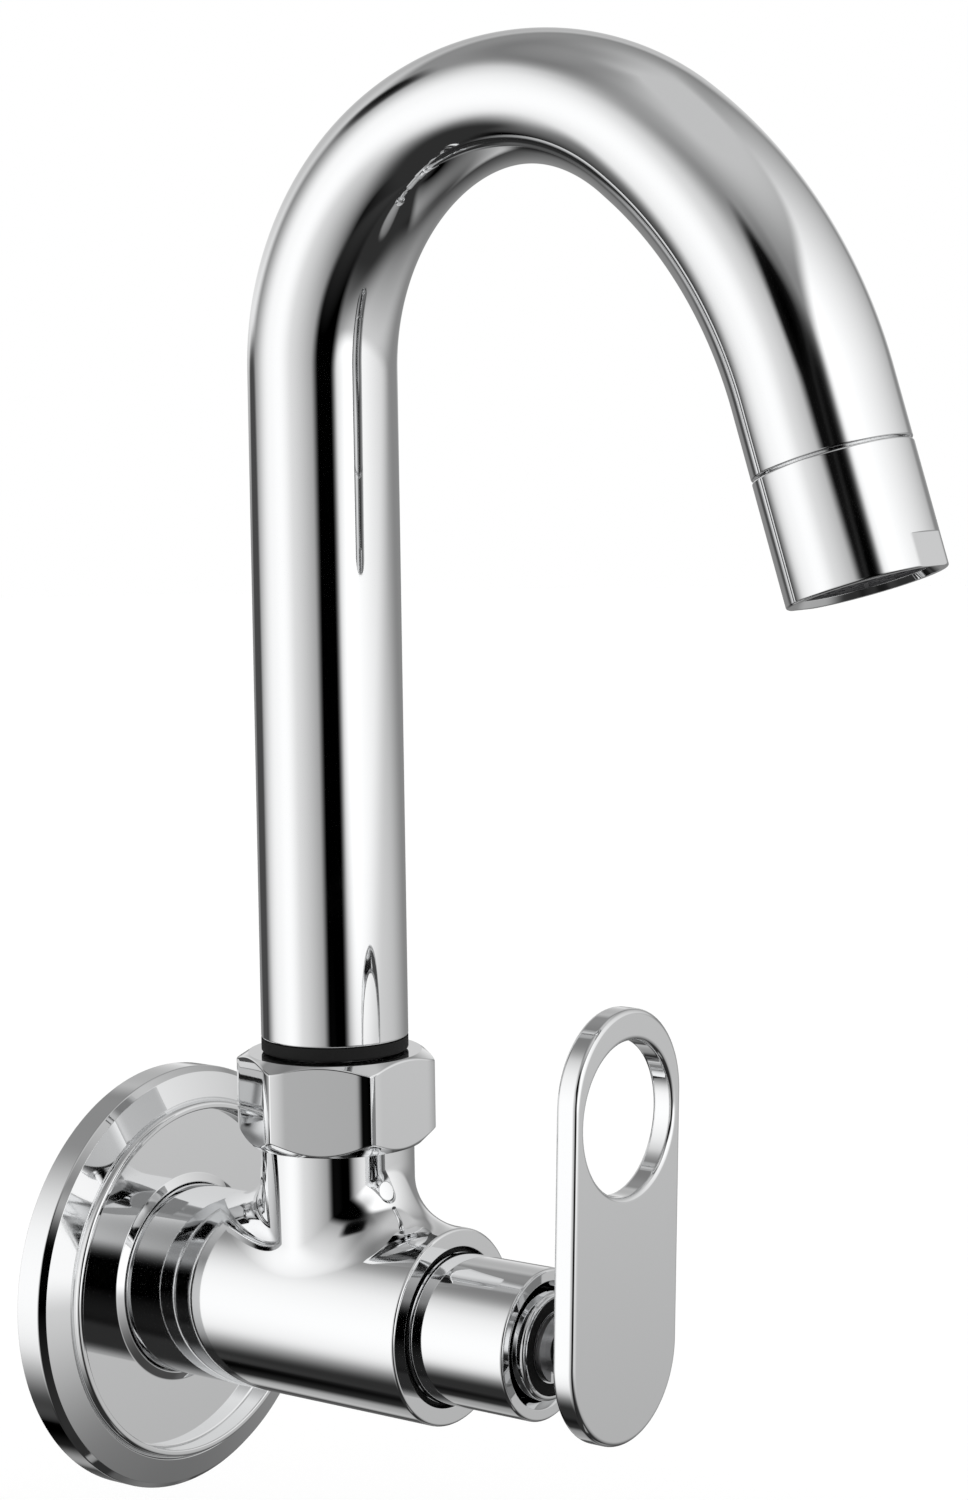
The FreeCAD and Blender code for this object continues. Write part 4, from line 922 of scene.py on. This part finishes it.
def lever_mesh(sizes):
    """Lever plate: columns run round the outline of a stadium and rows go round its wall, from the
    finger hole's back edge over the front face, the outer edge and the back face. A point of a
    face is hole + share * (outline - hole). The outline's point moves in along its own normal."""
    straight = sizes.top_centre - sizes.bottom_centre
    bend = np.linspace(0.0, math.pi, LEVER_BEND_POINTS)
    level = np.linspace(0.0, 1.0, LEVER_SIDE_POINTS)[1:-1]
    ones = np.ones(len(level))
    normal_x = np.concatenate([np.cos(bend), -ones, -np.cos(bend), ones])
    normal_z = np.concatenate([np.sin(bend), 0 * ones, -np.sin(bend), 0 * ones])
    centre_z = np.concatenate([
        0 * bend + sizes.top_centre,
        sizes.top_centre - straight * level,
        0 * bend + sizes.bottom_centre,
        sizes.bottom_centre + straight * level,
    ])
    half = sizes.half_width
    towards = np.arctan2(centre_z + half * normal_z - sizes.hole_centre, half * normal_x)
    # Only the section's four rounded corners are used: two move with the hole's edge, which stands
    # at 0 in it, and two with the outline, which stands at 1.
    rounding = sizes.edge_rounding
    section = rounded_profile([
        (sizes.plate_front, 0.0, rounding),
        (sizes.plate_front, 1.0, rounding),
        (sizes.plate_back, 1.0, rounding),
        (sizes.plate_back, 0.0, rounding),
    ])
    quarter = len(section) // 4
    at_hole = np.isin(np.arange(len(section)) // quarter, (0, 3))[:, None]
    depth = section[:, :1]
    from_hole = sizes.hole_radius + section[:, 1:]
    from_centre = half + section[:, 1:] - 1.0
    hole_x = from_hole * np.cos(towards)
    hole_z = sizes.hole_centre + from_hole * np.sin(towards)
    x = np.where(at_hole, hole_x, from_centre * normal_x)
    z = np.where(at_hole, hole_z, centre_z + from_centre * normal_z)
    rows = np.stack(np.broadcast_arrays(x, -depth, z), axis=-1)
    share = np.linspace(0.0, 1.0, LEVER_FACE_ROWS)[1:-1, None, None]
    front = rows[quarter - 1] + (rows[quarter] - rows[quarter - 1]) * share
    back = rows[3 * quarter - 1] + (rows[3 * quarter] - rows[3 * quarter - 1]) * share
    grid = np.concatenate([rows[:quarter], front, rows[quarter:3 * quarter], back, rows[3 * quarter:]])
    return merged_mesh((leaned(grid, sizes.lean), True, True))


class Number:
    """A socket's value on its way through a node tree: Python's operators add Math nodes to it."""

    def __init__(self, shader, socket):
        self.shader = shader
        self.socket = socket

    def maths(self, operation, *values):
        """A Math node on the values, or on this value where none is given."""
        inputs = dict(enumerate(values or (self,)))
        return self.shader.node("ShaderNodeMath", {"operation": operation}, inputs)

    def __add__(self, other):
        return self.maths("ADD", self, other)

    def __radd__(self, other):
        return self.maths("ADD", other, self)

    def __sub__(self, other):
        return self.maths("SUBTRACT", self, other)

    def __rsub__(self, other):
        return self.maths("SUBTRACT", other, self)

    def __mul__(self, other):
        return self.maths("MULTIPLY", self, other)

    def __rmul__(self, other):
        return self.maths("MULTIPLY", other, self)

    def __truediv__(self, other):
        return self.maths("DIVIDE", self, other)

    def __rtruediv__(self, other):
        return self.maths("DIVIDE", other, self)

    def __pow__(self, other):
        return self.maths("POWER", self, other)

    def __abs__(self):
        return self.maths("ABSOLUTE")

    def at_least(self, other):
        """The larger of the two."""
        return self.maths("MAXIMUM", self, other)

    def at_most(self, other):
        """The smaller of the two."""
        return self.maths("MINIMUM", self, other)

    def above(self, low, high):
        """0 below low, 1 above high, and a smooth step between."""
        return self.shader.node("ShaderNodeMapRange", {"interpolation_type": "SMOOTHSTEP"},
                                {"Value": self, "From Min": low, "From Max": high})

    def towards(self, other, share):
        """From this value, at share 0, to the other, at share 1."""
        return self + (other - self) * share


class Shader:
    """The node tree of a material or a world while it is written."""

    def __init__(self, owner):
        owner.use_nodes = True
        self.tree = owner.node_tree
        self.tree.nodes.clear()

    def node(self, kind, settings=None, inputs=None, output=0):
        """Add a node: its settings first, then the values or links of its sockets."""
        node = self.tree.nodes.new(kind)
        for name, value in (settings or {}).items():
            setattr(node, name, value)
        for key, value in (inputs or {}).items():
            if isinstance(value, Number):
                self.tree.links.new(value.socket, node.inputs[key])
            else:
                node.inputs[key].default_value = value
        return Number(self, node.outputs[output]) if len(node.outputs) else None

    def noise(self, scale, detail, roughness):
        """Noise on the piece's own coordinates, scale features to the metre."""
        place = self.node("ShaderNodeTexCoord", output="Object")
        return self.node("ShaderNodeTexNoise", {}, {
            "Vector": place, "Scale": scale, "Detail": detail, "Roughness": roughness})

    def shaded(self, tone, shade, share):
        """A colour that falls to shade times itself where share is 1."""
        dark = (shade * part for part in tone)
        return self.node("ShaderNodeMix", {"data_type": "RGBA"}, {
            0: share, 6: (*tone, 1.0), 7: (*dark, 1.0)}, 2)

    def bump(self, height, strength, distance):
        """The normal over a relief that is distance high."""
        return self.node("ShaderNodeBump", {}, {
            "Height": height, "Strength": strength, "Distance": distance})

    def ray(self, kind):
        """1 for one kind of ray and 0 for the others."""
        return self.node("ShaderNodeLightPath", output="Is %s Ray" % kind)

    def surface(self, settings):
        """Finish a material with a Principled surface."""
        bsdf = self.node("ShaderNodeBsdfPrincipled", {}, settings)
        self.node("ShaderNodeOutputMaterial", {}, {"Surface": bsdf})


def chrome_finish(shader, finishes):
    """Polished chrome plate: clean mirror with faint smudges and the shallow waves of the polishing."""
    smudge = shader.noise(scale=55.0, detail=4.0, roughness=0.6).above(0.52, 0.75)
    waves = shader.noise(scale=70.0, detail=1.0, roughness=0.4)
    shader.surface({
        "Base Color": (*finishes.chrome, 1.0),
        "Metallic": 1.0,
        "Roughness": smudge * finishes.chrome_smudge + finishes.chrome_roughness,
        "Normal": shader.bump(waves, strength=1.0, distance=finishes.chrome_wave),
    })


def turned_metal_finish(shader, metal, roughness):
    """Machined metal with fine tool marks and a dull patina."""
    patina = shader.noise(scale=120.0, detail=5.0, roughness=0.6).above(0.4, 0.7)
    marks = shader.noise(scale=2500.0, detail=2.0, roughness=0.5)
    shader.surface({
        "Base Color": shader.shaded(metal, shade=0.7, share=patina * 0.5),
        "Metallic": 1.0,
        "Roughness": patina * 0.15 + roughness,
        "Normal": shader.bump(marks, strength=0.3, distance=GRAIN_HEIGHT),
    })


def moulded_finish(shader, tint, roughness, grain, sheen=0.5):
    """Rubber, plastic or ceramic: an even tint with fine grain."""
    cloud = shader.noise(scale=200.0, detail=3.0, roughness=0.5)
    fine = shader.noise(scale=4000.0, detail=2.0, roughness=0.5)
    shader.surface({
        "Base Color": shader.shaded(tint, shade=0.85, share=cloud),
        "Roughness": cloud * 0.1 + roughness,
        "Specular IOR Level": sheen,
        "Normal": shader.bump(fine, strength=grain, distance=GRAIN_HEIGHT),
    })


def finish_material(slot):
    """The material of one of the record's slots, made the first time that it is asked for."""
    name = "finish_" + slot
    material = bpy.data.materials.get(name)
    if material is None:
        material = bpy.data.materials.new(name)
        shader = Shader(material)
        finishes = bpy.context.scene.tap_finishes
        makers = {
            "chrome_plate": lambda: chrome_finish(shader, finishes),
            "steel": lambda: turned_metal_finish(shader, finishes.steel, roughness=0.3),
            "black_rubber": lambda: moulded_finish(
                shader, finishes.rubber, roughness=0.6, grain=0.5, sheen=0.2),
            "white_plastic": lambda: moulded_finish(
                shader, finishes.white_plastic, roughness=0.4, grain=0.3),
            "grey_plastic": lambda: moulded_finish(
                shader, finishes.grey_plastic, roughness=0.4, grain=0.4),
            "white_ceramic": lambda: moulded_finish(
                shader, finishes.ceramic, roughness=0.12, grain=0.05),
        }
        makers[slot]()
    return material


class TAP_OT_flange(Operator):
    """Make the wall flange"""
    bl_idname = "tap.flange"
    bl_label = "Wall flange"

    def execute(self, context):
        add_piece("wall_flange", "body", flange_mesh(context.scene.tap_flange))
        return {"FINISHED"}


class TAP_OT_body(Operator):
    """Make the body with its barrel, neck and inlet thread"""
    bl_idname = "tap.body"
    bl_label = "Tap body"

    def execute(self, context):
        add_piece("tap_body", "body", body_mesh(context.scene.tap_body))
        return {"FINISHED"}


class TAP_OT_nut(Operator):
    """Make the union nut"""
    bl_idname = "tap.nut"
    bl_label = "Union nut"

    def execute(self, context):
        scene = context.scene
        add_piece("spout_nut", "body", nut_mesh(scene.tap_nut, scene.tap_body))
        return {"FINISHED"}


class TAP_OT_spout(Operator):
    """Make the spout tube and the aerator shell on its end"""
    bl_idname = "tap.spout"
    bl_label = "Spout and outlet"

    def execute(self, context):
        scene = context.scene
        add_piece("spout_tube", "spout", tube_mesh(scene.tap_spout, scene.tap_body))
        add_piece("aerator_shell", "spout", outlet_mesh(scene.tap_outlet, scene.tap_spout, scene.tap_body))
        return {"FINISHED"}


class TAP_OT_sleeve(Operator):
    """Make the sleeve in front of the barrel"""
    bl_idname = "tap.sleeve"
    bl_label = "Sleeve"

    def execute(self, context):
        add_piece("cartridge_sleeve", "body", sleeve_mesh(context.scene.tap_sleeve))
        return {"FINISHED"}


class TAP_OT_lever(Operator):
    """Make the lever's hub and plate"""
    bl_idname = "tap.lever"
    bl_label = "Lever"

    def execute(self, context):
        add_piece("lever_hub", "lever", hub_mesh(context.scene.tap_lever))
        add_piece("lever_plate", "lever", lever_mesh(context.scene.tap_lever))
        return {"FINISHED"}


class TAP_OT_inner_parts(Operator):
    """Give each CAD part that stays its own finish"""
    bl_idname = "tap.inner_parts"
    bl_label = "Inner parts"

    def execute(self, context):
        for subpart in frame["record"]["subparts"]:
            node = frame["nodes"][subpart["node"]]
            if node.hide_render:
                continue
            node.data.materials.clear()
            node.data.materials.append(finish_material(subpart["material_slot"]))
        return {"FINISHED"}


class TAP_OT_stage(Operator):
    """Set up the camera, floor, background and lights"""
    bl_idname = "tap.stage"
    bl_label = "Stage"

    def execute(self, context):
        scene = context.scene
        add_camera(scene)
        add_world(scene)
        add_floor(scene)
        add_key_light(scene)
        scene.view_settings.view_transform = "Standard"
        return {"FINISHED"}


SENSOR = 36.0                   # the camera's, in millimetres
NEAREST_SEEN = 10 * MM          # what is nearer to the camera isn't drawn
WHITE = (1.0, 1.0, 1.0, 1.0)
GAIN_REACH = 1.5                # where a panel's gains stop, in half widths from its middle
FLOOR_SHADE = 0.995             # how dark the floor's faint clouds are
FLOOR_WHITE = 1.02              # what the floor's colour and glow add up to
FLOOR_RINGS = 8
FLOOR_ROUND = 64                # points round each ring


def add_camera(scene):
    """Camera at the photograph's place: back is the way from the aim to the camera."""
    stage = scene.tap_stage
    azimuth, elevation, roll = stage.azimuth, stage.elevation, stage.roll
    back = Vector((
        math.sin(azimuth) * math.cos(elevation),
        -math.cos(azimuth) * math.cos(elevation),
        math.sin(elevation),
    ))
    right = Vector((math.cos(azimuth), math.sin(azimuth), 0.0))
    up = back.cross(right)
    aim = Vector((0.0, -scene.tap_body.neck_depth, stage.aim_height)) + right * stage.aim_right
    rolled_right = right * math.cos(roll) + up * math.sin(roll)
    rolled_up = up * math.cos(roll) - right * math.sin(roll)
    camera = fresh(bpy.data.objects, "camera", fresh(bpy.data.cameras, "camera"))
    camera.data.lens = stage.focal_length
    camera.data.sensor_width = SENSOR
    camera.data.clip_start = NEAREST_SEEN
    turn = Matrix((rolled_right, rolled_up, back)).transposed()
    camera.matrix_world = Matrix.Translation(aim + back * stage.distance) @ turn.to_4x4()
    scene.collection.objects.link(camera)
    scene.camera = camera


def panel_light(light, azimuth, elevation, panel):
    """The light with one soft panel laid over it. The panel is an oval between round and square:
    (|u| ** squareness + |v| ** squareness) ** (1 / squareness) < 1 in its own turned axes."""
    middle, height, tilt, half_width, half_height, softness, squareness, level, right, up, rim = panel
    turn = math.radians(tilt)
    across = azimuth.maths("WRAP", azimuth - middle, 180.0, -180.0)
    above = elevation - height
    u = across * (math.cos(turn) / half_width) + above * (math.sin(turn) / half_width)
    v = above * (math.cos(turn) / half_height) - across * (math.sin(turn) / half_height)
    reach = (abs(u) ** squareness + abs(v) ** squareness) ** (1 / squareness)
    inside = reach.above(1 + softness / 2, 1 - softness / 2)
    u = u.at_least(-GAIN_REACH).at_most(GAIN_REACH)
    v = v.at_least(-GAIN_REACH).at_most(GAIN_REACH)
    value = u * right + v * up + (u * u + v * v) * rim + level
    return light.towards(value.at_least(0.0), inside)


def add_world(scene):
    """White to the camera, an even light on what isn't polished, and to polished metal a studio of
    soft panels and black flags, each at its own azimuth and elevation."""
    studio = scene.tap_studio
    world = fresh(bpy.data.worlds, "studio")
    scene.world = world
    shader = Shader(world)
    way = shader.node("ShaderNodeTexCoord", output="Generated")
    x, y, z = (shader.node("ShaderNodeSeparateXYZ", {}, {0: way}, axis) for axis in range(3))
    azimuth = x.maths("ARCTAN2", x, 0.0 - y) * math.degrees(1)
    elevation = z.maths("ARCSINE") * math.degrees(1)
    from_ground = elevation.above(studio.ground_edge - studio.ground_softness,
                                  studio.ground_edge + studio.ground_softness)
    from_horizon = elevation.above(studio.ceiling_edge - studio.ceiling_softness,
                                   studio.ceiling_edge + studio.ceiling_softness)
    light = from_ground * (studio.horizon - studio.ground) + studio.ground
    light = light.towards(studio.ceiling, from_horizon)
    for name in StudioSettings.__annotations__:
        if name.startswith("panel_"):
            light = panel_light(light, azimuth, elevation, getattr(studio, name))
    even = 1.0 - scene.tap_stage.key_level
    seen = shader.ray("Camera") * (1.0 - even) + even
    plain, reflected = (
        shader.node("ShaderNodeBackground", {}, {"Color": WHITE, "Strength": strength})
        for strength in (seen, light))
    mixed = shader.node("ShaderNodeMixShader", {}, {0: shader.ray("Glossy"), 1: plain, 2: reflected})
    shader.node("ShaderNodeOutputWorld", {}, {"Surface": mixed})


def floor_material(stage):
    """Pale matt floor that the camera sees as white where no shadow falls on it: what its colour
    leaves of the camera's white is made up by a faint glow of its own."""
    material = fresh(bpy.data.materials, "floor")
    shader = Shader(material)
    cloud = shader.noise(scale=3.0, detail=2.0, roughness=0.5)
    matt = shader.node("ShaderNodeBsdfDiffuse", {}, {
        "Color": shader.shaded(stage.floor_colour, FLOOR_SHADE, cloud)})
    missing = (FLOOR_WHITE - part for part in stage.floor_colour)
    seen = shader.ray("Camera").at_least(shader.ray("Glossy").at_least(shader.ray("Transmission")))
    glow = shader.node("ShaderNodeEmission", {}, {"Color": (*missing, 1.0), "Strength": seen})
    both = shader.node("ShaderNodeAddShader", {}, {0: matt, 1: glow})
    shader.node("ShaderNodeOutputMaterial", {}, {"Surface": both})
    return material


def add_floor(scene):
    """Round floor under the tap: rings about its middle. Polished metal shows the studio instead."""
    stage = scene.tap_stage
    radii = stage.floor_radius * np.linspace(0.0, 1.0, FLOOR_RINGS + 1)[1:, None]
    turn = full_turn(FLOOR_ROUND)[None, :]
    grid = np.stack(np.broadcast_arrays(radii * np.cos(turn), radii * np.sin(turn), 0.0), axis=-1)
    faces = grid_faces(FLOOR_RINGS, FLOOR_ROUND, False, True).tolist() + [list(range(FLOOR_ROUND))]
    mesh = fresh(bpy.data.meshes, "floor")
    mesh.from_pydata(grid.reshape(-1, 3).tolist(), [], faces)
    mesh.materials.append(floor_material(stage))
    floor = fresh(bpy.data.objects, "floor", mesh)
    floor.location = (0.0, -scene.tap_body.neck_depth, CAD_LOW[2] - stage.floor_drop)
    floor.visible_glossy = False
    scene.collection.objects.link(floor)


def add_key_light(scene):
    """One wide lamp high in front of the tap, whose soft light the floor's shadow comes from."""
    stage = scene.tap_stage
    lamp = fresh(bpy.data.lights, "key", "SUN")
    lamp.angle = stage.key_spread
    lamp.energy = stage.key_level * math.pi / (math.cos(stage.key_forward) * math.cos(stage.key_side))
    key = fresh(bpy.data.objects, "key", lamp)
    key.rotation_euler = (stage.key_forward, stage.key_side, 0.0)
    key.visible_glossy = False
    scene.collection.objects.link(key)


class TAP_PT_sidebar(Panel):
    """Lists the operators and the sizes"""
    bl_idname = "TAP_PT_sidebar"
    bl_label = "Tap"
    bl_space_type = "VIEW_3D"
    bl_region_type = "UI"
    bl_category = "Tap"

    def draw(self, context):
        for operator in OPERATORS:
            self.layout.operator(operator.bl_idname)
        for attribute, group in GROUPS.items():
            box = self.layout.box()
            box.label(text=group.__doc__)
            for name in group.__annotations__:
                box.prop(getattr(context.scene, attribute), name)


OPERATORS = (
    TAP_OT_flange,
    TAP_OT_body,
    TAP_OT_nut,
    TAP_OT_spout,
    TAP_OT_sleeve,
    TAP_OT_lever,
    TAP_OT_inner_parts,
    TAP_OT_stage,
)
GROUPS = {
    "tap_flange": FlangeSizes,
    "tap_body": BodySizes,
    "tap_nut": NutSizes,
    "tap_spout": SpoutSizes,
    "tap_outlet": OutletSizes,
    "tap_sleeve": SleeveSizes,
    "tap_lever": LeverSizes,
    "tap_finishes": Finishes,
    "tap_stage": StageSettings,
    "tap_studio": StudioSettings,
}


def register():
    for group in GROUPS.values():
        bpy.utils.register_class(group)
    for attribute, group in GROUPS.items():
        setattr(bpy.types.Scene, attribute, PointerProperty(type=group))
    for operator in OPERATORS:
        bpy.utils.register_class(operator)
    bpy.utils.register_class(TAP_PT_sidebar)


def unregister():
    bpy.utils.unregister_class(TAP_PT_sidebar)
    for operator in reversed(OPERATORS):
        bpy.utils.unregister_class(operator)
    for attribute in GROUPS:
        delattr(bpy.types.Scene, attribute)
    for group in reversed(GROUPS.values()):
        bpy.utils.unregister_class(group)


def main():
    """Make the whole scene, in the operators' order."""
    register()
    bpy.ops.tap.flange()
    bpy.ops.tap.body()
    bpy.ops.tap.nut()
    bpy.ops.tap.spout()
    bpy.ops.tap.sleeve()
    bpy.ops.tap.lever()
    bpy.ops.tap.inner_parts()
    bpy.ops.tap.stage()


if __name__ == "__main__":
    main()
